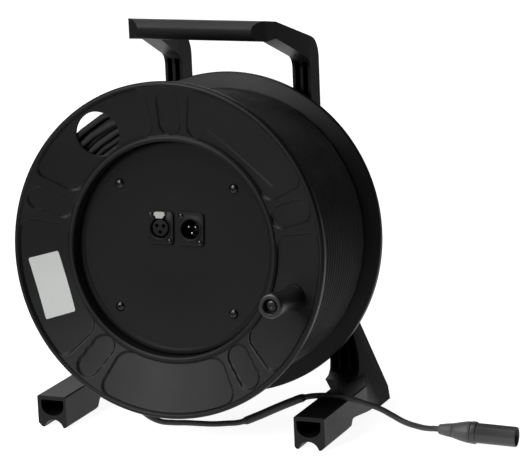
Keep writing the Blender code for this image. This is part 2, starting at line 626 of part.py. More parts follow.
def axle():
    head_back = HEAD_WASHER_BACK - WASHER_THICK - GAP
    nut_front = BOSS_BACK + 2 * GAP + WASHER_THICK
    end = nut_front + NUT_THICK + MM
    shaft = add("axle", rod(AXLE_RADIUS, head_back - MM, end), zinc_steel, drum)
    head = tool("axle_head", slab_y(hexagon(AXLE_HEAD_RADIUS), head_back - AXLE_HEAD_THICK, head_back), drum)
    combine(shaft, "UNION", head)
    nut = add("axle_nut", slab_y(hexagon(AXLE_HEAD_RADIUS), nut_front, nut_front + NUT_THICK), zinc_steel, drum)
    combine(nut, "DIFFERENCE", tool("nut_bore", rod(AXLE_HOLE, nut_front - MM, end + MM), drum))


axle()


# Winding: the outer layer over a plain core, its end crossing over the turns and leaving at a tangent
LAYER = WINDING_OUTER - CABLE / 2
CROSSING = LAYER + CABLE + 0.5 * MM
LAYER_END = dish_back(LAYER) + SIDE_MARGIN + CABLE / 2
LAYER_START = DRUM_DEPTH - FLANGE_THICK - SIDE_MARGIN - CABLE / 2
TURNS = int((LAYER_START - LAYER_END) / (CABLE + TURN_GAP))
PITCH = (LAYER_START - LAYER_END) / TURNS


def ease(share):
    share = min(max(share, 0), 1)
    return share * share * (3 - 2 * share)


def winding_points():
    """Points along the wound cable in the drum's frame, and the way it points when it leaves."""
    last = EXIT_ANGLE + math.tau * math.ceil((START_ANGLE + TURNS * math.tau - EXIT_ANGLE) / math.tau)
    first = last - CROSS_ANGLE - TURNS * math.tau
    count = round((last - first) / math.tau * LOOP_POINTS)
    points = []
    for i in range(count + 1):
        turn = first + (last - first) * i / count
        wound = min((turn - first) / math.tau, TURNS)
        cross = ease((turn - last + CROSS_ANGLE) / CROSS_ANGLE)
        climb = ease((turn - last + CROSS_ANGLE + CLIMB_ANGLE) / CLIMB_ANGLE)
        y = LAYER_START - PITCH * wound + (EXIT_PLACE - LAYER_END) * cross
        r = LAYER + (CROSSING - LAYER) * climb
        points.append(Vector((r * math.cos(turn), y, r * math.sin(turn))))
    leave = Vector((-math.sin(last), STUB_SLOPE, math.cos(last))).normalized()
    step = STUB_LENGTH / 4
    points += [points[-1] + leave * step * (i + 1) for i in range(4)]
    return points, leave


def least_gap(points, diameter):
    """The least clear distance between stretches of the tube that aren't neighbours along it."""
    least = math.inf
    skip = LOOP_POINTS // 2
    for i, here in enumerate(points):
        for j in range(i + skip, min(i + 3 * LOOP_POINTS, len(points) - 1)):
            start, along = points[j], points[j + 1] - points[j]
            share = min(max((here - start).dot(along) / along.length_squared, 0), 1)
            least = min(least, (here - start - along * share).length)
    return least - diameter


def tube(name, points, radius, material, parent=None, resolution=1):
    """A cable as a curve with filled ends."""
    curve = bpy.data.curves.new(name, "CURVE")
    curve.dimensions = "3D"
    curve.bevel_depth = radius
    curve.bevel_resolution = resolution
    curve.use_fill_caps = True
    spline = curve.splines.new("POLY")
    spline.points.add(len(points) - 1)
    for spot, p in zip(spline.points, points):
        spot.co = (*p, 1)
    curve.materials.append(material)
    made = bpy.data.objects.new(name, curve)
    bpy.context.scene.collection.objects.link(made)
    made.parent = parent
    return made


wound, leaving = winding_points()
tube("winding_outer", wound, CABLE / 2, cable_black, drum)
print(f"least gap of the winding to itself: {least_gap(wound, CABLE) / MM:.2f} mm")
loop_flat = LAYER * math.cos(math.pi / LOOP_POINTS)  # the middle of a straight stretch between loop points
core_outer = loop_flat - CABLE / 2 - GAP
core_rear = DRUM_DEPTH - FLANGE_THICK - GAP
core_outline = [(dish_back(r) + 1.5 * GAP, r) for r in (BARREL_RADIUS + GAP, core_outer)]
core_outline += [(core_rear, core_outer), (core_rear, BARREL_RADIUS + GAP)]
add("winding_core", turned(core_outline), cable_black, drum)


# The cable's free end: the way it lies, chosen from the photograph, in millimetres
TAIL_ROUTE = ((-60, -37.5, 25), (-47, -37.5, 12.5), (-34, -34, 5), (-22, -29, 2.9), (-10, -26, 2.8), (4, -24.6, 2.8),
              (17, -22.6, 2.8), (29, -19, 3.3), (41, -16, 4.4), (60, -15.5, 12), (77, -15.8, 20.3), (94, -15.5, 28.2),
              (107, -13.2, 33.2), (118, -9.3, 34.6), (129, -5.4, 34.3), (140, -4.6, 34.3), (152, -6.2, 33),
              (163, -1, 28), (173.5, 8, 21.5), (183, 13.6, 14.5), (196, 12.8, 8.8), (212, 6.8, 7.4), (225, -2.4, 9.4))
SLEEVE_FROM, SLEEVE_TO = 43 * MM, 109 * MM  # places of its ends along X
PLUG_TILT = math.asin((PLUG_RING - PLUG_RADIUS) / (PLUG_LENGTH - RING_PLACE[1]))
PLUG_START = PLUG_PLACE + Vector((0, 0, PLUG_RING + RING_PLACE[1] * math.sin(PLUG_TILT)))


def smooth_route(anchors, spacing):
    """Even points along a smooth curve through the anchors."""
    fine = []
    ends = [anchors[0] * 2 - anchors[1]] + anchors + [anchors[-1] * 2 - anchors[-2]]
    for a, b, c, d in zip(ends, ends[1:], ends[2:], ends[3:]):
        for i in range(16):
            t = i / 16
            fine.append(0.5 * (2 * b + (c - a) * t + (2 * a - 5 * b + 4 * c - d) * t ** 2
                               + (3 * b - a - 3 * c + d) * t ** 3))
    fine.append(anchors[-1])
    length = sum((q - p).length for p, q in zip(fine, fine[1:]))
    count = round(length / spacing)
    points, walked, target = [fine[0]], 0.0, length / count
    for p, q in zip(fine, fine[1:]):
        piece = (q - p).length
        while walked + piece >= target and len(points) < count:
            points.append(p + (q - p) * ((target - walked) / piece))
            target += length / count
        walked += piece
    return points + [fine[-1]], length


def stretch(points, low, high):
    """The part of a route between two places along X, cut off exactly there."""
    def cut(place):
        for p, q in zip(points, points[1:]):
            if p.x <= place < q.x:
                return p.lerp(q, (place - p.x) / (q.x - p.x))
    return [cut(low)] + [p for p in points if low + MM < p.x < high - MM] + [cut(high)]


def swept_sleeve(name, points, outer, inner, material, sides=8):
    """A hollow tube along the points."""
    mesh = bmesh.new()
    rings = []
    for i, p in enumerate(points):
        along = (points[min(i + 1, len(points) - 1)] - points[max(i - 1, 0)]).normalized()
        across = along.cross(Vector((0, 0, 1))).normalized()
        up = across.cross(along)
        turns = [math.tau * k / sides for k in range(sides)]
        spokes = [across * math.cos(a) + up * math.sin(a) for a in turns]
        rings.append([[mesh.verts.new(p + s * r) for s in spokes] for r in (outer, inner)])

    def skin(first, second):
        for k in range(sides):
            m = (k + 1) % sides
            mesh.faces.new((first[k], first[m], second[m], second[k]))
    for here, there in zip(rings, rings[1:]):
        skin(here[0], there[0])
        skin(here[1], there[1])
    skin(rings[0][0], rings[0][1])
    skin(rings[-1][0], rings[-1][1])
    return add(name, mesh, material)


def free_cable():
    tilt = Matrix.Translation((0, DRUM_FRONT, AXLE_HEIGHT)) @ Matrix.Rotation(-LEAN, 4, "X")
    way = (tilt.to_3x3() @ leaving).normalized()
    start = tilt @ wound[-1] + way * GAP
    plug_way = plug.matrix_basis.to_3x3() @ Vector((0, 1, 0))
    anchors = [start, start + way * 2 * CABLE] + [Vector(p) * MM for p in TAIL_ROUTE]
    anchors += [PLUG_START - plug_way * 3 * MM, PLUG_START + plug_way * 8 * MM]
    points, length = smooth_route(anchors, 2.1 * CABLE)
    tube("cable_tail", points, CABLE / 2, cable_black)
    inside = stretch(points, SLEEVE_FROM, SLEEVE_TO)
    swept_sleeve("cable_sleeve", inside, SLEEVE_RADIUS, CABLE / 2 + GAP, rubber_black)
    print(f"free end {length / MM:.0f} mm, {len(points)} points, sleeve {(inside[-1] - inside[0]).length / MM:.0f} mm")


# Plug on the cable's end: Y runs along it, and it leans forward onto its shell
plug = empty("plug_axis", PLUG_START, (-PLUG_TILT, 0, PLUG_TURN - math.pi / 2))
free_cable()


def plug_pieces():
    cable_hole = CABLE / 2 + GAP
    shell_back, shell_floor = RING_PLACE[0], PLUG_LENGTH - 15 * MM
    boot = [(0, cable_hole), (0, 4.2 * MM), (MM, 4.7 * MM), (BOOT_LENGTH, 6.6 * MM), (BOOT_LENGTH, cable_hole)]
    add("plug_boot", turned(boot, ROUND_STEPS), rubber_black, plug)
    nut = [(BOOT_LENGTH + GAP, cable_hole), (BOOT_LENGTH + GAP, 6.7 * MM), (shell_back - 6 * MM, 9.6 * MM),
           (shell_back - MM, PLUG_RING - 0.2 * MM), (shell_back - GAP, PLUG_RING - 0.8 * MM),
           (shell_back - GAP, cable_hole)]
    add("plug_collar", turned(nut, ROUND_STEPS), black_plastic, plug)
    bore = PLUG_RADIUS - PLUG_WALL
    shell = [(shell_back, cable_hole), (shell_back, PLUG_RING - 0.5 * MM), (shell_back + 0.5 * MM, PLUG_RING),
             (RING_PLACE[1] - MM, PLUG_RING), (RING_PLACE[1], PLUG_RADIUS), (PLUG_LENGTH - 0.5 * MM, PLUG_RADIUS),
             (PLUG_LENGTH, PLUG_RADIUS - 0.5 * MM), (PLUG_LENGTH, bore),
             (shell_floor - 12 * MM, bore), (shell_floor - 12 * MM, cable_hole)]
    add("plug_shell", turned(shell, ROUND_STEPS), black_plastic, plug)
    insert = rod(bore - GAP, shell_floor - 11 * MM, shell_floor)
    made = add("plug_insert", insert, inner_plastic, plug)
    holes = [rod(PIN_RADIUS + GAP, shell_floor - 8 * MM, shell_floor + MM, p, 8) for p in contact_spots]
    combine(made, "DIFFERENCE", tool("plug_insert_holes", together(*holes), plug))
    for i, spot in enumerate(contact_spots):
        tip = shell_floor + PIN_LENGTH
        outline = [(shell_floor - 7 * MM, 0), (shell_floor - 7 * MM, PIN_RADIUS), (tip - 0.6 * MM, PIN_RADIUS),
                   (tip, PIN_RADIUS * 0.6), (tip, 0)]
        add(f"plug_pin_{i + 1}", turned(outline, 8, False, spot), contact_metal, plug)


plug_pieces()


# Carrying frame: two mouldings joined by the hub carrier and the handle bar
UPRIGHT_INNER = UPRIGHT_OUTER - UPRIGHT_WIDTH
SPLAY = (FOOT_OUTER - UPRIGHT_OUTER) / KNEE_HEIGHT


def leg_outer(z):
    return UPRIGHT_OUTER + SPLAY * max(KNEE_HEIGHT - z, 0)


def leg_inner(z):
    low = leg_outer(LEG_WIDTH_HEIGHT) - FOOT_WIDTH
    if z <= LEG_WIDTH_HEIGHT:
        return low + SPLAY * (LEG_WIDTH_HEIGHT - z)
    return UPRIGHT_INNER + (low - UPRIGHT_INNER) * max(KNEE_HEIGHT - z, 0) / (KNEE_HEIGHT - LEG_WIDTH_HEIGHT)


HEEL = FRAME_REAR - 21 * MM  # rear end of the sole
LEG_FRONT = 56.2 * MM  # where the leg's curve meets the top of the foot
LEG_CURVE_TOP = 95 * MM
ARM_UNDER_REAR = ARM_UNDER_FRONT - 26 * MM


def side_outline():
    """The leg, upright and arm seen from the side, in (y, z)."""
    curve = arc((LEG_FRONT, LEG_CURVE_TOP), (UPRIGHT_FRONT - LEG_FRONT, LEG_CURVE_TOP - FOOT_HEIGHT), -90, 0, 8)
    under = arc((UPRIGHT_FRONT - 14 * MM, ARM_UNDER_REAR - 13 * MM), (14 * MM, 13.5 * MM), 0, 70, 4)
    shoulder = arc((FRAME_REAR - 24 * MM, SHOULDER_HEIGHT - 22 * MM), 24 * MM, 70, 0, 6)
    return ([(LEG_FRONT, 3 * MM), *curve, *under, (HANDLE_JOINT + GAP, ARM_UNDER_FRONT),
             (HANDLE_JOINT + GAP, HANDLE_TOP - 3.4 * MM), *shoulder, (FRAME_REAR, 82 * MM), (FRAME_REAR - 2 * MM, 76 * MM),
             (FRAME_REAR - 12 * MM, 10 * MM), (HEEL, 0), (HEEL - 30 * MM, 0)])


def front_outline(side):
    """The leg and upright seen from the front, in (x, z)."""
    top = HANDLE_TOP + MM
    heights = (-MM, LEG_WIDTH_HEIGHT, KNEE_HEIGHT, top)
    points = [(leg_outer(z), z) for z in heights] + [(leg_inner(z), z) for z in heights[::-1]]
    return [(side * x, z) for x, z in points]


def foot_mesh(side):
    """The foot: a square tube in front, leaning over into the leg's splay behind."""
    inner = FOOT_OUTER - FOOT_WIDTH
    front = [(inner, 2 * MM), (inner + 2 * MM, 0), (FOOT_OUTER - 4 * MM, 0), (FOOT_OUTER, 4 * MM),
             (FOOT_OUTER, FOOT_HEIGHT - MM), (FOOT_OUTER - MM, FOOT_HEIGHT), (inner + MM, FOOT_HEIGHT),
             (inner, FOOT_HEIGHT - MM)]
    rear = [(x - SPLAY * z, z) for x, z in front]
    mesh = bmesh.new()
    rings = [[mesh.verts.new((side * x, y, z)) for x, z in points]
             for points, y in ((front, FOOT_FRONT), (front, LEG_FRONT - 10 * MM), (rear, LEG_FRONT + 30 * MM))]
    for here, there in zip(rings, rings[1:]):
        for k in range(len(here)):
            m = (k + 1) % len(here)
            mesh.faces.new((here[k], here[m], there[m], there[k]))
    mesh.faces.new(rings[0])
    mesh.faces.new(rings[-1])
    return mesh


def channel_grooves(side):
    """Cutters for the open front of the leg: three grooves between two ribs."""
    low, high = FOOT_HEIGHT + 3 * MM, KNEE_HEIGHT - 12 * MM
    strips = []
    for start, end in ((0.09, 0.30), (0.37, 0.63), (0.70, 0.91)):
        left = [(leg_inner(z) + start * (leg_outer(z) - leg_inner(z)), z) for z in (low, LEG_WIDTH_HEIGHT, high)]
        right = [(leg_inner(z) + end * (leg_outer(z) - leg_inner(z)), z) for z in (high, LEG_WIDTH_HEIGHT, low)]
        strips.append(slab_y([(side * x, z) for x, z in left + right], LEG_FRONT, FRAME_REAR))
    floor = arc((FRAME_REAR - 34 * MM, low + 14 * MM), 14 * MM, -90, -20, 4)
    depth = [(LEG_FRONT - MM, low), *floor, (FRAME_REAR - BACK_WALL - 4 * MM, 80 * MM), (FRAME_REAR - BACK_WALL, high),
             (LEG_FRONT - MM, high)]
    reach = sorted((side * 50 * MM, side * 160 * MM))
    grooves = tool(f"leg_grooves_{side}", slab_x(depth, *reach))
    combine(grooves, "INTERSECT", tool(f"leg_strips_{side}", together(*strips)))
    return grooves


GROOVE = (UPRIGHT_WIDTH - 3 * FRAME_WALL) / 2
AXLE_AT_CARRIER = AXLE_HEIGHT - (CARRIER_FRONT + 12 * MM - DRUM_FRONT) * math.tan(LEAN)
CARRIER_TOP = AXLE_AT_CARRIER + 38.2 * MM
CARRIER_BOTTOM = AXLE_AT_CARRIER - 36.8 * MM
TONGUE_LOW, TONGUE_HIGH = AXLE_AT_CARRIER - 21.8 * MM, AXLE_AT_CARRIER + 23.2 * MM
TONGUE_FRONT, TONGUE_BACK = FRAME_REAR - 16.2 * MM, FRAME_REAR - 4.2 * MM
SCREW_HEIGHTS = (AXLE_AT_CARRIER - 11 * MM, AXLE_AT_CARRIER + 12 * MM)
TENON_X = (UPRIGHT_OUTER - 19.6 * MM, UPRIGHT_OUTER - 9.6 * MM)
TENON_Y = HANDLE_JOINT - 11 * MM
TENON_Z = (ARM_UNDER_FRONT + 4 * MM, ARM_UNDER_FRONT + 12.5 * MM)
TENON_SCREW_Y = HANDLE_JOINT - 5.5 * MM


def ordered(side, low, high):
    return tuple(sorted((side * low, side * high)))


def arm_taper(side):
    """A wedge that narrows the arms and the handle bar towards the front."""
    far = UPRIGHT_OUTER + 30 * MM
    front = FOOT_FRONT
    slope = (UPRIGHT_OUTER - HANDLE_OUTER) / (UPRIGHT_FRONT - 16.7 * MM)
    front_x = UPRIGHT_OUTER - slope * (UPRIGHT_FRONT - front)
    outline = [(UPRIGHT_OUTER, UPRIGHT_FRONT), (front_x, front), (far, front), (far, UPRIGHT_FRONT)]
    return slab_z([(side * x, y) for x, y in outline], ARM_UNDER_REAR - 30 * MM, HANDLE_TOP + 5 * MM)


def arm_inner_slope(side):
    """The same taper on the arm's inner side, added so that the arm keeps its width."""
    shift = UPRIGHT_OUTER - HANDLE_OUTER
    outline = [(UPRIGHT_INNER + MM, UPRIGHT_FRONT), (UPRIGHT_INNER - shift, HANDLE_JOINT + GAP),
               (UPRIGHT_INNER + MM, HANDLE_JOINT + GAP)]
    return slab_z([(side * x, y) for x, y in outline], ARM_UNDER_REAR - 30 * MM, HANDLE_TOP + 5 * MM)


def side_frame(name, side):
    width = ordered(side, UPRIGHT_INNER - 20 * MM, FOOT_OUTER + 20 * MM)
    made = add(name, slab_x(side_outline(), *width), black_plastic)
    combine(made, "INTERSECT", arm_and_leg(side))
    combine(made, "UNION", tool(f"foot_{side}", foot_mesh(side)))
    hollow = [(side * x, z) for x, z in
              [(143.1 * MM, 27 * MM), (119.4 * MM, 27 * MM), *arc((131.25 * MM, 21 * MM), (11.85 * MM, 9.5 * MM),
                                                                  180, 360, 10)]]
    arch = rod(10.3 * MM, FOOT_FRONT - MM, 8 * MM, (side * 130.8 * MM, -2.6 * MM), 24)
    instep = [(0.5 * MM, -MM), (0.5 * MM, 0), (7.2 * MM, 9.5 * MM), (13.2 * MM, 9.5 * MM), (64.2 * MM, 2.5 * MM),
              (HEEL - 30 * MM, 0), (HEEL - 30 * MM, -MM)]
    tongue = block(ordered(side, UPRIGHT_INNER - 2 * MM, UPRIGHT_INNER + TONGUE + GAP),
                   (TONGUE_FRONT - GAP, TONGUE_BACK + GAP), (TONGUE_LOW - GAP, TONGUE_HIGH + GAP))
    grooves = []
    for start in (UPRIGHT_INNER + FRAME_WALL, UPRIGHT_OUTER - FRAME_WALL - GROOVE):
        low, high = CARRIER_TOP - 5 * MM, ARM_UNDER_REAR - 7 * MM
        outline = rounded_box(GROOVE, high - low, 1.5 * MM, (side * (start + GROOVE / 2), (low + high) / 2), 3)
        grooves.append(slab_y(outline, UPRIGHT_FRONT - 10 * MM, FRAME_REAR - BACK_WALL))
    combine(made, "DIFFERENCE", tool(f"foot_hollow_{side}", slab_y(hollow, FOOT_FRONT - MM, 35 * MM)),
            tool(f"foot_arch_{side}", arch),
            tool(f"instep_{side}", slab_x(instep, *ordered(side, 90 * MM, 160 * MM))),
            channel_grooves(side), tool(f"upright_grooves_{side}", together(*grooves)),
            tool(f"tongue_pocket_{side}", tongue),
            tool(f"frame_screw_holes_{side}", together(*[frame_screw_mesh(side, z, GAP) for z in SCREW_HEIGHTS])))
    tenon = block(ordered(side, *TENON_X), (TENON_Y, HANDLE_JOINT + 4 * MM), TENON_Z)
    combine(made, "UNION", tool(f"tenon_{side}", tenon))
    combine(made, "DIFFERENCE", tool(f"tenon_hole_{side}", tenon_screw_mesh(side, GAP)))


def arm_and_leg(side):
    """The outline from the front with the tapering arm: what the side view is trimmed to."""
    clip = tool(f"front_clip_{side}", slab_y(front_outline(side), 20 * MM, FRAME_REAR + MM))
    combine(clip, "UNION", tool(f"arm_inner_{side}", arm_inner_slope(side)))
    combine(clip, "DIFFERENCE", tool(f"arm_outer_{side}", arm_taper(side)))
    return clip


def frame_screw_mesh(side, z, grow):
    """A countersunk screw from behind, through the upright into the carrier's tongue."""
    back = FRAME_REAR - (0.2 * MM if grow == 0 else -MM)
    length = FRAME_REAR - 14 * MM - grow
    head = 4.2 * MM + grow
    outline = [(length, 0), (length, FRAME_SCREW + grow), (FRAME_REAR - 2.6 * MM, FRAME_SCREW + grow),
               (FRAME_REAR - 0.4 * MM, head), (back, head), (back, 0)]
    return turned(outline, SCREW_STEPS, False, (side * (UPRIGHT_INNER + TONGUE / 2), z))


def tenon_screw_mesh(side, grow):
    """A screw from below, through the handle bar into the arm's tenon."""
    low = ARM_UNDER_FRONT - 3 * MM
    high = TENON_Z[1] - 1.5 * MM + grow
    shank, head = 1.6 * MM + grow, 3.4 * MM + grow
    bottom = TENON_Z[0] - 3.2 * MM - (0 if grow == 0 else 8 * MM)
    seat = TENON_Z[0] - 1.4 * MM + (GAP if grow else 0)
    outline = [(bottom, 0), (bottom, head), (seat, head), (seat, shank), (high, shank), (high, 0)]
    mesh = turned(outline, SCREW_STEPS, False)
    bmesh.ops.rotate(mesh, cent=(0, 0, 0), matrix=Matrix.Rotation(math.pi / 2, 3, "X"), verts=mesh.verts)
    bmesh.ops.translate(mesh, vec=(side * sum(TENON_X) / 2, TENON_SCREW_Y, 0), verts=mesh.verts)
    return mesh


def handle_bar():
    front_top, front_low = (16.7 * MM, HANDLE_TOP), (12.2 * MM, HANDLE_TOP - 17.4 * MM)
    nose = [(14 * MM, HANDLE_TOP - 0.6 * MM), (11 * MM, HANDLE_TOP - 4 * MM), (10 * MM, HANDLE_TOP - 8 * MM),
            (10.4 * MM, HANDLE_TOP - 12.5 * MM), (11.4 * MM, HANDLE_TOP - 16 * MM)]
    section = [front_top, *nose, (13.5 * MM, HANDLE_TOP - 18.2 * MM), (18 * MM, HANDLE_TOP - 19.6 * MM),
               (HANDLE_JOINT - 4 * MM, ARM_UNDER_FRONT), (HANDLE_JOINT, ARM_UNDER_FRONT + 2 * MM),
               (HANDLE_JOINT, HANDLE_TOP - 3.4 * MM)]
    made = add("handle_bar", slab_x(section, -HANDLE_OUTER - 5 * MM, HANDLE_OUTER + 5 * MM), black_plastic)
    for side in (-1, 1):
        hip = [(side * x, y) for x, y in ((HANDLE_OUTER, 17.5 * MM), (HANDLE_OUTER - 14 * MM, 9 * MM),
                                          (HANDLE_OUTER + 20 * MM, 0), (HANDLE_OUTER + 20 * MM, 17.5 * MM))]
        pocket = block(ordered(side, TENON_X[0] - GAP, TENON_X[1] + GAP), (TENON_Y - GAP, HANDLE_JOINT + MM),
                       (TENON_Z[0] - GAP, TENON_Z[1] + GAP))
        combine(made, "DIFFERENCE", tool(f"bar_taper_{side}", arm_taper(side)),
                tool(f"bar_hip_{side}", slab_z(hip, HANDLE_TOP - 30 * MM, HANDLE_TOP + 5 * MM)),
                tool(f"bar_pocket_{side}", pocket), tool(f"bar_screw_hole_{side}", tenon_screw_mesh(side, GAP)))


def hub_carrier():
    outer = block((-UPRIGHT_INNER + GAP, UPRIGHT_INNER - GAP), (CARRIER_FRONT, CARRIER_BACK),
                  (CARRIER_BOTTOM, CARRIER_TOP))
    made = add("hub_carrier", outer, black_plastic)
    inset = UPRIGHT_INNER - GAP - BACK_WALL
    pocket = block((-inset, inset), (CARRIER_FRONT + CARRIER_WALL, FRAME_REAR),
                   (CARRIER_BOTTOM + BACK_WALL, CARRIER_TOP - BACK_WALL))
    boss = tool("carrier_boss", rod(BOSS_RADIUS, BOSS_FRONT, BOSS_BACK, steps=24), drum)
    rib = (AXLE_AT_CARRIER - FRAME_WALL / 2, AXLE_AT_CARRIER + FRAME_WALL / 2)
    ribs = together(*[block(ordered(side, BOSS_RADIUS - MM, inset + MM),
                            (CARRIER_FRONT + CARRIER_WALL / 2, CARRIER_BACK - 6 * MM), rib) for side in (-1, 1)])
    tongues = together(*[block(ordered(side, UPRIGHT_INNER - 2 * MM, UPRIGHT_INNER + TONGUE),
                               (TONGUE_FRONT, TONGUE_BACK), (TONGUE_LOW, TONGUE_HIGH)) for side in (-1, 1)])
    bore = tool("carrier_bore", rod(AXLE_HOLE, BOSS_FRONT - MM, BOSS_BACK + 30 * MM), drum)
    holes = together(*[frame_screw_mesh(side, z, GAP) for side in (-1, 1) for z in SCREW_HEIGHTS])
    combine(made, "DIFFERENCE", tool("carrier_pocket", pocket))
    combine(made, "UNION", tool("carrier_ribs", ribs), boss, tool("carrier_tongues", tongues))
    combine(made, "DIFFERENCE", bore, tool("carrier_screw_holes", holes))


side_frame("left_side_frame", -1)
side_frame("right_side_frame", 1)
handle_bar()
hub_carrier()
number = 0
for side in (-1, 1):
    add(f"handle_screw_{'left' if side < 0 else 'right'}", tenon_screw_mesh(side, 0), screw_black)
    for z in SCREW_HEIGHTS:
        number += 1
        add(f"frame_screw_{number}", frame_screw_mesh(side, z, 0), screw_black)
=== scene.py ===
# %% [markdown]
# # A microphone cable on its carrying drum
#
# The real object is a stage cable drum. A round magazine of black plastic turns on a bolt in a moulded
# carrying frame, about a hundred metres of microphone cable are wound on it, and one end of the cable
# comes out from under it and ends in a round plug. Two sockets sit in a recessed plate in its middle.
# Nearly all of it is black, so what the eye reads is edges, gloss and grain. This lesson loads the CAD
# model, keeps its sizes, and gives each part the edges, fine shapes and finish of the real one.

# %% Load the CAD model
import math

import bpy
from mathutils import Matrix, Vector
from mathutils.geometry import interpolate_bezier


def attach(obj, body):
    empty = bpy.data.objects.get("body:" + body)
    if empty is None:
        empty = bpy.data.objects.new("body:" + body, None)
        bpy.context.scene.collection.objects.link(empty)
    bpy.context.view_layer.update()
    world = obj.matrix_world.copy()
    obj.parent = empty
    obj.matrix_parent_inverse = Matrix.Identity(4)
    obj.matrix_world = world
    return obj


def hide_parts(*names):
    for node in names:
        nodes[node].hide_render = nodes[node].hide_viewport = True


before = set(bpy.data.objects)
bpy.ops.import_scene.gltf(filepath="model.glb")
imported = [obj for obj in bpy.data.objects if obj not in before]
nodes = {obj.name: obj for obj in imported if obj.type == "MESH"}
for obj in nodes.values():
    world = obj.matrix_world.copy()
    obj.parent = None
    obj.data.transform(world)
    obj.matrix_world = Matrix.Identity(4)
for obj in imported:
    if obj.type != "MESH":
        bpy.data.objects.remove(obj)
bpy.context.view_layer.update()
MM = 0.001

# %% [markdown]
# ## The view
#
# A photograph can be matched by moving a camera by hand until the outlines meet. This camera was solved
# from the round edges of the drum instead, so its numbers are not round. Its three directions are the
# columns of its turn: to the right, up, and back towards the viewer.

# %% Camera
VIEW_FROM = Vector((0.98307, -2.1473, 0.71924))
VIEW_RIGHT = Vector((0.92232, 0.38437, -0.03979))
VIEW_UP = Vector((-0.04934, 0.21927, 0.97442))
VIEW_BACK = Vector((0.38326, -0.89676, 0.22120))
LENS = 176.6

bpy.ops.object.camera_add()
camera = bpy.context.object
camera.name = "view_of_the_photograph"
view_turn = Matrix((VIEW_RIGHT, VIEW_UP, VIEW_BACK)).transposed().to_4x4()
camera.matrix_world = Matrix.Translation(VIEW_FROM) @ view_turn
camera.data.lens = LENS
camera.data.sensor_width = 36
bpy.context.scene.camera = camera
print("camera lens:", camera.data.lens, "mm")

# %% [markdown]
# ## The drum's own axis
#
# The drum leans back by six degrees, so its parts are easier to build upright and tilt afterwards. This
# matrix does the tilting. In the drum's space Y runs backwards along the axle, starting at the front edge
# of the front flange, X is to the right and Z is up.

# %% Tilt of the drum
LEAN = math.radians(6)
DRUM_PLACE = Vector((0, -75.8, 182)) * MM
DRUM = Matrix.Translation(DRUM_PLACE) @ Matrix.Rotation(-LEAN, 4, "X")
DRUM_DEPTH = 156


def on_drum(x, y, z):
    """A point in the drum's space, in millimetres, as a point of the scene."""
    return DRUM @ (Vector((x, y, z)) * MM)


def shift(x, y, z):
    """A move by so many millimetres, for pieces that are made at the origin."""
    return Matrix.Translation(Vector((x, y, z)) * MM)


print("front end of the axle line:", on_drum(0, 0, 0))

# %% [markdown]
# ## The dished flange
#
# The front flange is not flat. Its face sinks like a shallow dish from the bead at its rim to the raised
# lip round the hub, and the cable's layers stop against its conical back. Two short formulas give both
# faces, and every piece that touches the flange takes its depth from them.

# %% Depth of the flange's two faces
RIM, BEAD_FOOT, LIP, BORE, BARREL = 156, 151.5, 105, 100, 104.5  # radii in millimetres
THICK, WALL, BEAD, DISH = 8, 3.5, 1.5, 12


def dish(radius):
    """How far behind the drum's front the flange's face lies."""
    return BEAD + (BEAD_FOOT - radius) * DISH / (BEAD_FOOT - LIP)


def dish_back(radius):
    """The same for the flange's back, which is flat near the rim."""
    return max(dish(radius) + WALL, THICK)


print("dish at the lip:", dish(LIP), "mm, its back:", dish_back(LIP), "mm")

# %% [markdown]
# ## The cable on the drum
#
# The cable is one long tube, so a curve with a round bevel is the natural way to make it: its line is the
# cable's middle. It is wound in six layers, to and fro between the flanges. A formula gives the line: the
# angle grows steadily, the place along the drum follows it, and at a flange the line climbs by about one
# diameter onto the next layer. Layers near the barrel are narrower, because the dished flange comes
# further in there. The last turn crosses over the others and leaves the drum at a tangent. A single curve
# of a hundred metres is heavy to measure, so the three inner layers and the three outer ones are two.

# %% Winding formula
CABLE = 5.5
TURNS = 21  # in the outermost layer
LAYERS = 6
LAYER_RISE = 6
OUTER_LAYER = 138.75  # radius of the cable's middle in the outermost layer
CROSSING = 144.75
MARGIN = 0.6 + CABLE / 2  # from a flange to the middle of the cable
REAR_PLACE = DRUM_DEPTH - THICK - MARGIN
LEAVE_ANGLE = math.radians(-140)
LEAVE_PLACE = 60
CROSS_ANGLE, LIFT_ANGLE = math.radians(50), math.radians(30)
CLIMB = math.pi / 2
STUB, STUB_SLOPE = 46, -0.08
POINTS_A_TURN = 36
WANDER = 0.12  # a turn strays this much from its even place


def front_place(radius):
    return dish_back(radius) + MARGIN


PITCH = (REAR_PLACE - front_place(OUTER_LAYER)) / TURNS


def ease(share):
    """A share from 0 to 1 that starts and ends gently."""
    share = min(max(share, 0), 1)
    return share * share * (3 - 2 * share)


def spiral(turn, place, radius):
    """A point of the cable's middle at an angle, a place along the drum and a radius."""
    return on_drum(radius * math.cos(turn), place, radius * math.sin(turn))


def layer_radius(number):
    return OUTER_LAYER - LAYER_RISE * (LAYERS - 1 - number)


def layer_turns(number):
    return (REAR_PLACE - front_place(layer_radius(number))) / PITCH


print("pitch", round(PITCH, 3), "mm, turns in each layer:", [round(layer_turns(n), 1) for n in range(LAYERS)])


# %% Layers and the climbs between them
def layer_points(number, start):
    """One layer of turns. Layer 5 is the outermost and runs from the rear to the front."""
    radius, turns = layer_radius(number), layer_turns(number)
    forwards = (LAYERS - 1 - number) % 2 == 0
    count = round(turns * POINTS_A_TURN)
    points = []
    for i in range(count):
        share = i / count
        run = REAR_PLACE - front_place(radius)
        place = REAR_PLACE - run * share if forwards else front_place(radius) + run * share
        wander = WANDER * math.sin(7 * share * turns) * ease(4 * share) * ease(4 - 4 * share)
        points.append(spiral(start + math.tau * turns * share, place + wander, radius))
    return points, start + math.tau * turns


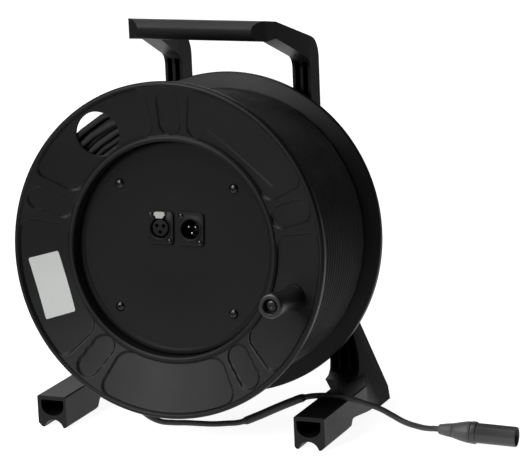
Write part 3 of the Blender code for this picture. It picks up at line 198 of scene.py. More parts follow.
def climb_points(number, start):
    """A quarter turn against a flange, rising from layer number to the next."""
    at_front = (LAYERS - 1 - number) % 2 == 0
    steps = POINTS_A_TURN // 4
    points = []
    for i in range(steps):
        radius = layer_radius(number) + LAYER_RISE * ease(i / steps)
        place = front_place(radius) if at_front else REAR_PLACE
        points.append(spiral(start + CLIMB * i / steps, place, radius))
    return points, start + CLIMB


def wound_layers(numbers):
    """Layers and the climbs after them, in the order in which they were wound."""
    turn = outer_start
    for number in range(numbers[0], LAYERS - 1):
        turn -= layer_turns(number) * math.tau + CLIMB
    points = []
    for number in numbers:
        layer, turn = layer_points(number, turn)
        points += layer
        if number < LAYERS - 1:
            rise, turn = climb_points(number, turn)
            points += rise
    return points


outer_start = LEAVE_ANGLE + math.tau * (TURNS + 1) - CROSS_ANGLE - TURNS * math.tau
print("outer layer starts at", round(math.degrees(outer_start)), "degrees")


# %% Last turn, over the others and off the drum
def leaving_points():
    """The crossing on top of the outermost layer, then straight off the drum."""
    start = outer_start + TURNS * math.tau
    last_place = front_place(OUTER_LAYER)
    steps = POINTS_A_TURN // 4
    points = []
    for i in range(steps + 1):
        share = i / steps
        place = last_place + (LEAVE_PLACE - last_place) * ease(share)
        points.append(spiral(start + CROSS_ANGLE * share, place, CROSSING))
    way = Vector((-math.sin(LEAVE_ANGLE), STUB_SLOPE, math.cos(LEAVE_ANGLE))).normalized()
    way = (DRUM.to_3x3() @ way).normalized()
    return points + [points[-1] + way * STUB * MM * (i + 1) / 4 for i in range(4)], way


def rise_before_crossing(points):
    """Lifts the end of the outermost layer onto itself, where the last turn starts to cross over."""
    count = round(LIFT_ANGLE / math.tau * POINTS_A_TURN)
    for i in range(count):
        share = ease((i + 1) / count)
        away = DRUM.inverted() @ points[i - count]
        grow = 1 + (CROSSING - OUTER_LAYER) * share / OUTER_LAYER
        points[i - count] = DRUM @ Vector((away.x * grow, away.y, away.z * grow))


# %% Cable curves
def link_new(name, data):
    """A new object of the scene for a mesh or curve."""
    made_object = bpy.data.objects.new(name, data)
    bpy.context.scene.collection.objects.link(made_object)
    return made_object


def cable_curve(name, points, smooth=False):
    """A round tube along the points, closed at its ends. A smooth one bends evenly through few points."""
    curve = bpy.data.curves.new(name, "CURVE")
    curve.dimensions = "3D"
    curve.bevel_depth = CABLE / 2 * MM
    curve.bevel_resolution = 4 if smooth else 3
    curve.use_fill_caps = True
    spline = curve.splines.new("BEZIER" if smooth else "POLY")
    places = spline.bezier_points if smooth else spline.points
    places.add(len(points) - 1)
    for place, point in zip(places, points):
        place.co = point if smooth else (*point, 1)
        if smooth:
            place.handle_left_type = place.handle_right_type = "AUTO"
    return link_new(name, curve)


def length_of(points):
    return sum((there - here).length for here, there in zip(points, points[1:]))


inner_points = wound_layers([0, 1, 2])
outer_points = wound_layers([3, 4, 5])
rise_before_crossing(outer_points)
crossing, leave_way = leaving_points()
inner_points.append(outer_points[0])
outer_points += crossing
wound_inner = cable_curve("wound_cable_inner", inner_points)
wound_outer = cable_curve("wound_cable_outer", outer_points)
wound_length = length_of(inner_points) + length_of(outer_points)
print("wound cable:", round(wound_length, 1), "m")

# %% [markdown]
# ## The free end of the cable
#
# The end that the photograph shows comes down from the drum, runs along the floor, humps over the right
# foot and lies down again before its plug. Its line was chosen point by point from the photograph. A
# Bezier spline with automatic handles bends through these points as evenly as the real cable does. The
# plug lies on the ring behind its shell and on the shell's front edge, so it points down a little.

# %% Free end
FREE_ROUTE = ((-60, -37.5, 25), (-47, -37.5, 12.5), (-34, -34, 5), (-22, -29, 2.9), (-10, -26, 2.8),
              (4, -24.6, 2.8), (17, -22.6, 2.8), (29, -19, 3.3), (41, -16, 4.4), (60, -15.5, 12),
              (77, -15.8, 20.3), (94, -15.5, 28.2), (107, -13.2, 33.2), (118, -9.3, 34.6), (129, -5.4, 34.3),
              (140, -4.6, 34.3), (152, -6.2, 33), (163, -1, 28), (173.5, 8, 21.5), (183, 13.6, 14.5),
              (196, 12.8, 8.8), (212, 6.8, 7.4), (225, -2.4, 9.4))
SHELL, RING, SHELL_FROM, RING_TO, PLUG_LENGTH = 9.3, 10.4, 31.5, 36.5, 74
END_GAP = 0.3  # between the wound cable's end and the free end
PLUG_TURN = math.radians(1.6)
PLUG_TILT = math.asin((RING - SHELL) / (PLUG_LENGTH - RING_TO))
PLUG_START = Vector((237.1, -7.7, RING + RING_TO * math.sin(PLUG_TILT))) * MM
PLUG = (Matrix.Translation(PLUG_START) @ Matrix.Rotation(PLUG_TURN - math.pi / 2, 4, "Z")
        @ Matrix.Rotation(-PLUG_TILT, 4, "X"))
plug_way = PLUG.to_3x3() @ Vector((0, 1, 0))

free_start = outer_points[-1] + leave_way * END_GAP * MM
free_points = [free_start, free_start + leave_way * 2 * CABLE * MM]
free_points += [Vector(spot) * MM for spot in FREE_ROUTE]
free_points += [PLUG_START - plug_way * 3 * MM, PLUG_START + plug_way * 8 * MM]
free_cable = cable_curve("free_cable", free_points, smooth=True)
print("free end:", round(length_of(free_points), 3), "m, its points as a chain")

# %% [markdown]
# ## Ways to model round and moulded parts
#
# Most of this object was turned or moulded round an axle. By hand, such a part starts as one vertex that
# is extruded along half of its section, and the spin tool turns that line into a closed body. The lathe
# helper does just that, in millimetres, with Y as the axle. Another one writes a piece's place into its
# mesh, so that every object stays at the origin like the CAD's own.

# %% Lathe
def only(piece):
    """Makes a piece the active and only selected object."""
    bpy.ops.object.select_all(action="DESELECT")
    piece.select_set(True)
    bpy.context.view_layer.objects.active = piece


def edit_all(piece):
    """Opens a piece in edit mode with all of its mesh selected."""
    only(piece)
    bpy.ops.object.mode_set(mode="EDIT")
    bpy.ops.mesh.select_all(action="SELECT")


def draw_chain(name, outline):
    """Extrudes one vertex along (depth, radius) points and stays in edit mode."""
    bpy.ops.object.select_all(action="DESELECT")
    bpy.ops.mesh.primitive_plane_add(size=MM)
    piece = bpy.context.object
    piece.name = piece.data.name = name
    edit_all(piece)
    bpy.ops.mesh.merge(type="CENTER")
    spots = [Vector((radius, depth, 0)) * MM for depth, radius in outline]
    bpy.ops.transform.translate(value=spots[0])
    for here, there in zip(spots, spots[1:]):
        bpy.ops.mesh.extrude_region_move(TRANSFORM_OT_translate={"value": there - here})
    return piece


def spin_chain(steps):
    """Spins the chain that is in edit mode about Y, closes it and leaves edit mode."""
    bpy.ops.mesh.select_all(action="SELECT")
    bpy.ops.mesh.remove_doubles(threshold=1e-6)
    bpy.ops.mesh.select_all(action="SELECT")
    bpy.ops.mesh.spin(steps=steps, angle=math.tau, center=(0, 0, 0), axis=(0, 1, 0))
    bpy.ops.mesh.select_all(action="SELECT")
    bpy.ops.mesh.remove_doubles(threshold=2e-6)
    bpy.ops.mesh.normals_make_consistent(inside=False)
    bpy.ops.object.mode_set(mode="OBJECT")


def settle(piece, place=None, smooth=30):
    """Writes a place into the mesh and shades it smooth up to an angle."""
    only(piece)
    if place is not None:
        piece.matrix_world = place
        bpy.ops.object.transform_apply()
    bpy.ops.object.shade_smooth_by_angle(angle=math.radians(smooth))


def lathe(name, outline, steps, place=DRUM):
    """A turned body. An outline that starts and ends at radius 0 is closed by the axle itself."""
    open_ended = outline[0][1] == 0 and outline[-1][1] == 0
    piece = draw_chain(name, outline if open_ended else outline + outline[:1])
    spin_chain(steps)
    settle(piece, place)
    return piece


# %% Corners, cuts and belonging
def rounded(centre, radius, start, end, steps):
    """Points of a rounded corner in an outline, angles in degrees from the depth direction."""
    turns = [math.radians(start + (end - start) * i / steps) for i in range(steps + 1)]
    return [(centre[0] + radius * math.cos(a), centre[1] + radius * math.sin(a)) for a in turns]


def block(middle, size, turn=0):
    """A box by its middle and size in millimetres, turned about the Y axis."""
    bpy.ops.object.select_all(action="DESELECT")
    bpy.ops.mesh.primitive_cube_add(size=MM, location=Vector(middle) * MM, rotation=(0, turn, 0), scale=size)
    bpy.ops.object.transform_apply()
    return bpy.context.object


def cut(piece, cutter, way="DIFFERENCE"):
    """Cuts a closed piece with another, or joins them, and removes the cutter."""
    only(piece)
    step = piece.modifiers.new("cut", "BOOLEAN")
    step.operation, step.object, step.solver = way, cutter, "MANIFOLD"
    bpy.ops.object.modifier_apply(modifier=step.name)
    bpy.data.objects.remove(cutter)


def soften(piece, width, angle=35):
    """Rounds every edge sharper than the angle, as a mould does, and keeps the flat faces shaded flat."""
    only(piece)
    step = piece.modifiers.new("soft edges", "BEVEL")
    step.width, step.segments = width * MM, 2
    step.limit_method, step.angle_limit = "ANGLE", math.radians(angle)
    bpy.ops.object.modifier_apply(modifier=step.name)
    bpy.ops.object.shade_smooth_by_angle(angle=math.radians(angle))
    even = piece.modifiers.new("even shading", "WEIGHTED_NORMAL")
    even.weight, even.keep_sharp = 80, True
    bpy.ops.object.modifier_apply(modifier=even.name)


made = []


def belongs(piece, body, slot, finish, *stands_for):
    """Gives a piece its finish and its body, and hides the CAD nodes that it stands for. Its slot is not
    used.
    """
    piece.data.materials.clear()
    piece.data.materials.append(finish)
    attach(piece, body)
    if stands_for:
        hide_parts(*stands_for)
    made.append(piece.name)


print("helpers are ready")

# %% [markdown]
# ## Finishes
#
# Moulded plastic is not one flat black. The mould leaves a fine grain, and the gloss changes a little from
# place to place. One helper makes all the dull finishes: a wide noise varies the colour and the
# roughness, and a fine noise gives the bump of the grain. It works on Object coordinates, which are
# metres here because every piece's place is in its mesh.


# %% Plastic and rubber
def moulded(name, colour, rough, grain=1400, depth=0.00004, patches=18, spread=0.18, rough_spread=0.08,
             shine=0.16):
    """A material with a grain of grain bumps a metre, and patches that vary its colour and gloss."""
    material = bpy.data.materials.new(name)
    material.use_nodes = True
    tree = material.node_tree
    shader = tree.nodes["Principled BSDF"]
    shader.inputs["Specular IOR Level"].default_value = shine
    place = tree.nodes.new("ShaderNodeTexCoord")

    def noise(scale, detail):
        texture = tree.nodes.new("ShaderNodeTexNoise")
        texture.inputs["Scale"].default_value = scale
        texture.inputs["Detail"].default_value = detail
        tree.links.new(place.outputs["Object"], texture.inputs["Vector"])
        return texture.outputs["Fac"]

    wide, fine = noise(patches, 4), noise(grain, 2)
    tint = tree.nodes.new("ShaderNodeValToRGB")
    tint.color_ramp.elements[0].position, tint.color_ramp.elements[1].position = 0.3, 0.7
    for element, share in zip(tint.color_ramp.elements, (1 - spread, 1 + spread)):
        element.color = (*[value * share for value in colour], 1)
    tree.links.new(wide, tint.inputs["Fac"])
    tree.links.new(tint.outputs["Color"], shader.inputs["Base Color"])
    gloss = tree.nodes.new("ShaderNodeMapRange")
    gloss.inputs["To Min"].default_value = rough - rough_spread
    gloss.inputs["To Max"].default_value = rough + rough_spread
    tree.links.new(wide, gloss.inputs["Value"])
    tree.links.new(gloss.outputs["Result"], shader.inputs["Roughness"])
    bump = tree.nodes.new("ShaderNodeBump")
    bump.inputs["Strength"].default_value = 0.6
    bump.inputs["Distance"].default_value = depth
    tree.links.new(fine, bump.inputs["Height"])
    tree.links.new(bump.outputs["Normal"], shader.inputs["Normal"])
    return material


black_plastic = moulded("black_plastic", (0.0044, 0.0045, 0.0046), 0.44)
plate_finish = moulded("plate_finish", (0.0042, 0.0042, 0.0043), 0.5, grain=2600, spread=0.04,
                       rough_spread=0.02, shine=0.11)
socket_plastic = moulded("socket_plastic", (0.0045, 0.0045, 0.0045), 0.42, grain=3000, shine=0.12)
insert_plastic = moulded("insert_plastic", (0.0055, 0.0055, 0.0055), 0.55, grain=3000, shine=0.1)
tab_plastic = moulded("tab_plastic", (0.29, 0.29, 0.27), 0.45, grain=3000, spread=0.05, shine=0.4)
bush_plastic = moulded("bush_plastic", (0.6, 0.59, 0.54), 0.45, spread=0.05, shine=0.4)
jacket = moulded("cable_jacket", (0.021, 0.021, 0.0214), 0.56, grain=900, depth=0.00006, patches=30,
                 shine=0.07)
# The free end's jacket is the wound cable's jacket, made lighter and glossier.
free_jacket = moulded("free_jacket", (0.034, 0.034, 0.035), 0.5, grain=900, depth=0.00006,
                      patches=30, shine=0.25)
sleeve_finish = moulded("sleeve_finish", (0.018, 0.018, 0.0185), 0.4, grain=900, shine=0.25)
boot_rubber = moulded("boot_rubber", (0.06, 0.06, 0.061), 0.5, grain=2000, shine=0.3)
collar_finish = moulded("collar_finish", (0.055, 0.055, 0.056), 0.45, grain=2600, shine=0.3)
shell_finish = moulded("shell_finish", (0.042, 0.042, 0.043), 0.28, grain=2600, depth=0.00001,
                       rough_spread=0.03, shine=0.3)
grip_finish = moulded("grip_finish", (0.0048, 0.0048, 0.005), 0.36, grain=2200, depth=0.00002, shine=0.42)
label_paper = moulded("label_paper", (0.4, 0.41, 0.4), 0.7, grain=2400, spread=0.03)

# %% [markdown]
# ## Metals
#
# The screws are blackened steel, the axle's parts are zinc plated, and the contacts are silver plated. The
# same helper gives each its grain, and the metal's own colour and its metallic value do the rest.


# %% Metal
def metal(name, colour, rough):
    material = moulded(name, colour, rough, 1800, 0.00002, patches=60, spread=0.06, rough_spread=0.06)
    material.node_tree.nodes["Principled BSDF"].inputs["Metallic"].default_value = 1
    return material


black_steel = metal("black_steel", (0.035, 0.035, 0.036), 0.3)
zinc = metal("zinc_plating", (0.55, 0.55, 0.57), 0.32)
silver = metal("silver_plating", (0.4, 0.39, 0.37), 0.3)

print("metals:", black_steel.name, zinc.name, silver.name)

# %% [markdown]
# ## Front flange
#
# The front flange, the hub's recess and the front half of the barrel are one moulding. Its section is
# drawn once and spun in 900 narrow steps. So many are needed because the face carries shallow pockets:
# five kidneys and, between them, five round-ended slots. Cut with a boolean they would have knife edges.
# Here the face is a fine grid, and each vertex inside a pocket's outline is pressed back, with a slope of
# about a millimetre at the edge, which is how the mould's rounded edge looks.

# %% Section of the front flange
LEDGE_FRONT, LEDGE_BACK, LEDGE_INNER = 27.8, 31, 70  # the ledge behind the plate
SPLIT = 77.85
STEPS = 900
face = [(dish(radius), radius) for radius in [150.8 - 0.75 * i for i in range(60)]]
front_section = [(THICK, 154.6), (7.6, 155.5), (6.8, RIM)]
front_section += rounded((2.6, RIM - 2.6), 2.6, 90, 180, 5)
front_section += [(0.05, 152.7), (0.3, 152.15), (0.8, 151.75), (1.25, 151.4)]
front_section += face
front_section += [(dish(105.6) - 0.15, 105.7), (13, 105.15), (12.6, 104.85), (12.2, 104.4), (12.02, 103.8),
                  (12, 102.4), (12.1, 101.4), (12.5, 100.6), (13.2, 100.15), (14.2, BORE)]
front_section += [(LEDGE_FRONT, BORE), (LEDGE_FRONT, LEDGE_INNER), (LEDGE_BACK, LEDGE_INNER),
                  (LEDGE_BACK, BORE), (SPLIT, BORE), (SPLIT, BARREL), (dish_back(BARREL), BARREL),
                  (THICK, 139.9)]
front = draw_chain("front_flange_moulding", front_section + front_section[:1])
spin_chain(STEPS)
print("front flange grid:", len(front.data.vertices), "vertices")

# %% Pockets, raised line and window edge
POCKET_DEPTH, EDGE_SLOPE = 1.7, 0.65
POCKET_IN, POCKET_OUT = 105.9, 150.6
KIDNEY_HALF, FIRST_KIDNEY, POCKET_STEP = math.radians(27.5), math.radians(54), math.tau / 5
INNER_CORNER, OUTER_CORNER = 14, 9
SLOT_HALF, SLOT_OUT = 10.5, 149
LINE_HEIGHT, LINE_FOOT = 0.55, 1.3
WINDOW_SINK, WINDOW_SLOPE = 0.5, 1.2
FACE_IN, FACE_OUT = 105.8, 150.9  # only this part of the face is pressed
WINDOW, WINDOW_AT, WINDOW_ANGLE = 20.7, 127.5, math.radians(124.5)
window_x, window_z = WINDOW_AT * math.cos(WINDOW_ANGLE), WINDOW_AT * math.sin(WINDOW_ANGLE)
KNOB_AT, KNOB_ANGLE = 130, math.radians(-16)
knob_x, knob_z = KNOB_AT * math.cos(KNOB_ANGLE), KNOB_AT * math.sin(KNOB_ANGLE)


def outside_kidney(radius, turn):
    """Distance outside a kidney's outline, whose middle is at turn 0. It is negative inside."""
    turn = abs(turn)
    for corner, middle, way in ((INNER_CORNER, POCKET_IN + INNER_CORNER, -1),
                                (OUTER_CORNER, POCKET_OUT - OUTER_CORNER, 1)):
        reach = KIDNEY_HALF - corner / middle
        if (radius - middle) * way > 0 and turn > reach:
            return math.hypot(radius - middle, (turn - reach) * radius) - corner
    return max(POCKET_IN - radius, radius - POCKET_OUT, (turn - KIDNEY_HALF) * radius)


def outside_slot(radius, turn):
    """The same for a round-ended slot, whose middle line is at turn 0."""
    along, across = radius * math.cos(turn), radius * math.sin(turn)
    nearest = min(max(along, POCKET_IN + SLOT_HALF), SLOT_OUT - SLOT_HALF)
    return math.hypot(along - nearest, across) - SLOT_HALF


LINE_ENDS = [(119.5 * math.cos(math.radians(31.5)), 119.5 * math.sin(math.radians(31.5))),
             (118.5 * math.cos(math.radians(71.5)), 118.5 * math.sin(math.radians(71.5)))]


def from_line(x, z):
    """Distance to the straight raised line in the upper right kidney."""
    (x0, z0), (x1, z1) = LINE_ENDS
    share = ((x - x0) * (x1 - x0) + (z - z0) * (z1 - z0)) / ((x1 - x0) ** 2 + (z1 - z0) ** 2)
    share = min(max(share, 0), 1)
    return math.hypot(x - x0 - share * (x1 - x0), z - z0 - share * (z1 - z0))


def press(x, z):
    """How far the face is pressed back at a place, in millimetres."""
    radius, turn = math.hypot(x, z), math.atan2(z, x)
    turn = (turn - FIRST_KIDNEY + POCKET_STEP / 2) % POCKET_STEP - POCKET_STEP / 2
    side = turn - math.copysign(POCKET_STEP / 2, turn)
    outside = min(outside_kidney(radius, turn), outside_slot(radius, side))
    depth = POCKET_DEPTH * ease(0.5 - outside / (2 * EDGE_SLOPE))
    depth -= LINE_HEIGHT * ease(LINE_FOOT - from_line(x, z))
    window_edge = math.hypot(x - window_x, z - window_z) - WINDOW
    return depth + WINDOW_SINK * ease(1 - window_edge / WINDOW_SLOPE)


pressed = 0
for vertex in front.data.vertices:
    x, y, z = vertex.co / MM
    radius = math.hypot(x, z)
    if FACE_IN < radius < FACE_OUT and abs(y - dish(radius)) < 0.02:
        vertex.co.y += press(x, z) * MM
        pressed += 1
print("face vertices pressed:", pressed)


# %% Window, knob seat and finish of the flange
def rod(name, radius, low, high, x, z, sides=96):
    """A plain round bar along the axle, used to cut or to join."""
    bpy.ops.object.select_all(action="DESELECT")
    middle = Vector((x, (low + high) / 2, z)) * MM
    bpy.ops.mesh.primitive_cylinder_add(vertices=sides, radius=radius * MM, depth=(high - low) * MM,
                                        location=middle, rotation=(math.pi / 2, 0, 0))
    bar = bpy.context.object
    bar.name = name
    bpy.ops.object.transform_apply()
    return bar


KNOB_SEAT = 5.02
seat = lathe("knob_seat", [(KNOB_SEAT, 0), (KNOB_SEAT, 10.7), (KNOB_SEAT + 0.25, 11), (KNOB_SEAT + 1.6, 11.6),
                           (KNOB_SEAT + 3.2, 12), (10.5, 12), (10.5, 0)], 64,
             shift(knob_x, 0, knob_z))
cut(front, rod("window", WINDOW, -5, 25, window_x, window_z, 128))
cut(front, seat, "UNION")
settle(front, DRUM, 40)
belongs(front, "drum", "black_plastic", black_plastic, "front_flange")
print("front flange:", len(front.data.polygons), "faces")

# %% [markdown]
# ## Rear flange
#
# The rear flange is flat, with the same bead at its rim and a lip round its web, and it carries the hub
# tube that runs on the bolt. It is a plain turned section: 256 steps keep its edge round in every view.

# %% Rear flange
BACK = DRUM_DEPTH
HUB, TUBE_BORE, TUBE_FRONT, WEB, WEB_FRONT, REAR_SPLIT = 20, 14.3, 92, 153, 150, 78.15
rear_section = [(BACK - THICK, 154.6), (BACK - 7.6, 155.5), (BACK - 6.8, RIM)]
rear_section += rounded((BACK - 2.6, RIM - 2.6), 2.6, 90, 0, 5)
rear_section += [(BACK - 0.05, 152.7), (BACK - 0.3, 152.15), (BACK - 0.8, 151.75), (BACK - 1.35, 151.2),
                 (BACK - BEAD, 150.6), (BACK - BEAD, 105.6), (BACK - 1.2, 105.1), (BACK - 0.5, 104.8),
                 (BACK - 0.1, 104.3), (BACK, 103.6), (BACK, 101.4), (BACK - 0.2, 100.8), (BACK - 0.8, 100.3),
                 (BACK - 1.6, BORE), (WEB + 0.8, BORE), (WEB + 0.2, 99.7), (WEB, 99), (WEB, HUB + 1.2),
                 (WEB + 0.3, HUB + 0.4), (WEB + 1, HUB), (BACK - 0.8, HUB), (BACK - 0.2, HUB - 0.2),
                 (BACK, HUB - 0.8), (BACK, TUBE_BORE), (TUBE_FRONT, TUBE_BORE), (TUBE_FRONT, HUB),
                 (WEB_FRONT, HUB), (WEB_FRONT, BORE), (REAR_SPLIT, BORE), (REAR_SPLIT, BARREL),
                 (BACK - THICK, BARREL)]
rear = lathe("rear_flange_moulding", rear_section, 256)
belongs(rear, "drum", "black_plastic", black_plastic, "rear_flange")
print("rear flange:", len(rear.data.polygons), "faces")

# %% [markdown]
# ## Connector plate
#
# A round sheet of black plastic closes the recess. It has a narrow raised ring just inside its edge, which
# catches the light all round. Turned from a short section, it needs no holes, because every hole is
# covered by the head or flange of what sits in it. Only the sockets' two large openings are cut.

# %% Connector plate
PLATE = 25.5
SOCKET_X, SOCKET_Z = 15.3, 18.5
plate_side = [(PLATE, 0), (PLATE, 40), (PLATE, 93.3), (PLATE - 0.12, 93.8), (PLATE - 0.5, 94.3),
              (PLATE - 0.88, 94.8), (PLATE - 1, 95.4), (PLATE - 1, 98.4), (PLATE - 0.85, 98.95),
              (PLATE - 0.5, 99.3), (PLATE, 99.4), (PLATE + 2, 99.4), (PLATE + 2, 0)]
plate = lathe("hub_plate", plate_side, 192, Matrix())
for x in (-SOCKET_X, SOCKET_X):
    cut(plate, rod("socket_opening", 12.1, PLATE - 5, PLATE + 5, x, SOCKET_Z))
settle(plate, DRUM)
belongs(plate, "drum", "connector_plate", plate_finish, "connector_plate")
print("hub plate:", len(plate.data.polygons), "faces")

# %% [markdown]
# ## Screws with a cross recess
#
# One screw head is modelled once: a turned dome with a cross cut into it. Every other head is a copy with
# its own mesh, scaled to its size and turned a little differently, because nobody lines screws up.

# %% Cross-head screw
RECESS_AT, RECESS_TAPER = -0.42, 0.55


def cross_screw():
    """A domed head of radius 1 and height 0.5 in front of depth 0, with a short shank, in millimetres."""
    head = [(-0.5, 0), (-0.49, 0.25), (-0.45, 0.5), (-0.36, 0.72), (-0.2, 0.9), (-0.06, 0.98), (0, 0.97),
            (0, 0.38), (0.6, 0.38), (0.6, 0)]
    made_head = lathe("cross_screw", head, 48, Matrix())
    for turn in (0, math.pi / 2):
        slot = block((0, RECESS_AT, 0), (0.2, 0.44, 1.02), turn)
        for corner in slot.data.vertices:  # the recess narrows towards its floor
            if corner.co.y > RECESS_AT * MM:
                corner.co.x *= RECESS_TAPER
                corner.co.z *= RECESS_TAPER
        cut(made_head, slot)
    return made_head


SCREW = cross_screw()
print("cross screw:", len(SCREW.data.polygons), "faces")


def put_screw(node, place, radius, height, length, body, slot, finish, turn):
    """A copy of the screw at a place, its head towards the place's -Y, with a shank of some length."""
    piece = link_new(node + "_piece", SCREW.data.copy())
    for vertex in piece.data.vertices:
        if vertex.co.y > 0.5 * MM:
            vertex.co.y = length / (2 * height) * MM
    size = Matrix.Diagonal((radius, height * 2, radius, 1))
    settle(piece, place @ Matrix.Rotation(turn, 4, "Y") @ size)
    belongs(piece, body, slot, finish, node)


PLATE_SCREWS = 57.77
corners = [(PLATE_SCREWS * x, PLATE_SCREWS * z) for x, z in ((1, 1), (-1, 1), (-1, -1), (1, -1))]
for i, (x, z) in enumerate(corners):
    put_screw(f"plate_screw_{i + 1}", DRUM @ shift(x, PLATE - 0.1, z), 4.6, 2.3, 13, "drum",
              "black_screw", black_steel, 0.9 * i + 0.35)
print("plate screws at", corners)

# %% [markdown]
# ## Sockets
#
# Each socket is a rounded square flange with a raised ring and a tube behind it. A flange begins as a
# cube whose four corner edges are bevelled, which gives even corners. Ring, tube and bore are turned and
# joined or cut, because they must stay exactly round.

# %% Socket shells
FLANGE_FRONT = 23.2
SOCKET_TUBE = 11.8  # radius of the tube behind a socket's flange


def socket_shell(name, x, bore):
    """A flange with a ring on it and a tube behind it, both bored out."""
    shell = block((x, FLANGE_FRONT + 1, SOCKET_Z), (26, 2, 31))
    shell.name = shell.data.name = name
    bpy.ops.object.mode_set(mode="EDIT")
    bpy.ops.mesh.select_mode(type="EDGE")
    bpy.ops.mesh.select_all(action="DESELECT")
    bpy.ops.object.mode_set(mode="OBJECT")
    for edge in shell.data.edges:
        here, there = [shell.data.vertices[i].co for i in edge.vertices]
        edge.select = abs(here.y - there.y) > MM
    bpy.ops.object.mode_set(mode="EDIT")
    bpy.ops.mesh.bevel(offset=4 * MM, segments=6)
    bpy.ops.mesh.select_mode(type="VERT")
    bpy.ops.object.mode_set(mode="OBJECT")
    soften(shell, 0.4)
    spot = shift(x, 0, SOCKET_Z)
    ring = [(22.4, 0), (22.4, 10.8), (22.52, 11.08), (22.8, 11.2), (24.6, 11.2), (24.6, SOCKET_TUBE),
            (43.2, SOCKET_TUBE), (43.2, 0)]
    cut(shell, lathe(name + "_ring", ring, 96, spot), "UNION")
    mouth = [(20, 0), (20, bore + 0.6), (22.4, bore + 0.5), (22.9, bore), (45, bore), (45, 0)]
    cut(shell, lathe(name + "_bore", mouth, 96, spot))
    return shell


female = socket_shell("female_socket_shell", -SOCKET_X, 9.7)
NOTCH_LOW = SOCKET_Z + 8.7  # the latch tab's head and neck move in two notches
for width, near, far, top in ((11.8, 21, 25.3, 50), (6.8, 23, 35.2, SOCKET_Z + 12.8)):
    middle = (-SOCKET_X, (near + far) / 2, (NOTCH_LOW + top) / 2)
    cut(female, block(middle, (width, far - near, top - NOTCH_LOW)))
settle(female, DRUM, 35)
belongs(female, "drum", "socket_plastic", socket_plastic, "female_socket")

male = socket_shell("male_socket_shell", SOCKET_X, 9.3)
settle(male, DRUM, 35)
belongs(male, "drum", "socket_plastic", socket_plastic, "male_socket")
print("socket shells:", len(female.data.polygons), len(male.data.polygons), "faces")

# %% Contacts of the sockets
CONTACT_CIRCLE, PIN = 3.9, 1.2
CONTACTS = [(CONTACT_CIRCLE * math.cos(a), CONTACT_CIRCLE * math.sin(a))
            for a in (math.radians(150), math.radians(30), math.radians(270))]
spot = shift(-SOCKET_X, 0, SOCKET_Z)
core_side = [(FLANGE_FRONT, 0), (FLANGE_FRONT, 7.2), (23.35, 7.65), (23.75, 7.9), (37.2, 7.9), (37.2, 9.4),
             (42.7, 9.4), (42.7, 0)]
core = lathe("female_core", core_side, 64, spot)
for x, z in CONTACTS:
    hole = lathe("contact_hole", [(20, 0), (20, 2.2), (23.2, 1.95), (23.9, 1.5), (34, 1.5), (34, 0)], 24,
                 shift(x - SOCKET_X, 0, z + SOCKET_Z))
    cut(core, hole)
settle(core, DRUM)
belongs(core, "drum", "contact_insert", insert_plastic, "female_insert")

disc = lathe("male_disc", [(37.2, 0), (37.2, 8.6), (37.4, 9), (42.7, 9), (42.7, 0)], 64,
             DRUM @ shift(SOCKET_X, 0, SOCKET_Z))
belongs(disc, "drum", "contact_insert", insert_plastic, "male_insert")


def contact_pin(name, tip, back, place, body, stands_for):
    """A round pin whose tip faces the lower depth."""
    away = 1 if back > tip else -1
    outline = [(tip, 0), (tip, 0.45), (tip + 0.12 * away, 0.75), (tip + 0.4 * away, 1.03),
               (tip + 0.9 * away, PIN), (back, PIN), (back, 0)]
    pin = lathe(name, outline, 24, place)
    belongs(pin, body, "contact_metal", silver, stands_for)


for i, (x, z) in enumerate(CONTACTS):
    place = DRUM @ shift(x + SOCKET_X, 0, z + SOCKET_Z)
    contact_pin(f"male_contact_{i + 1}", 26.7, 44.7, place, "drum", f"socket_pin_{i + 1}")

SOCKET_SCREWS = [(side * SOCKET_X + x, SOCKET_Z + z) for side in (-1, 1) for x, z in ((-9.5, 12), (9.5, -12))]
for i, (x, z) in enumerate(SOCKET_SCREWS):
    put_screw(f"socket_screw_{i + 1}", DRUM @ shift(x, FLANGE_FRONT - 0.05, z), 2.6, 1.4, 8,
              "drum", "black_screw", black_steel, 0.7 * i + 0.2)
print("contacts and socket screws are in place")

# %% [markdown]
# ## Soft copies of the CAD parts
#
# The frame's mouldings, the axle's parts and the latch tab already have their right shapes in the CAD
# model. What they lack is the small radius that every moulded or turned edge has. So these are copies of
# the CAD meshes whose split vertices are merged and whose flat faces are joined first, and then rounded.

# %% Soft copies
def copy_of(node, name, width):
    """A merged copy of a CAD part, with rounded edges if a width is given."""
    source = nodes[node]
    piece = link_new(name, source.data.copy())
    piece.data.name = name
    only(piece)
    piece.matrix_world = source.matrix_world
    bpy.ops.object.transform_apply()
    edit_all(piece)
    bpy.ops.mesh.remove_doubles(threshold=1e-5)
    bpy.ops.mesh.select_all(action="SELECT")
    bpy.ops.mesh.dissolve_limited(angle_limit=math.radians(1))
    bpy.ops.object.mode_set(mode="OBJECT")
    if width:
        soften(piece, width, 30)
    return piece


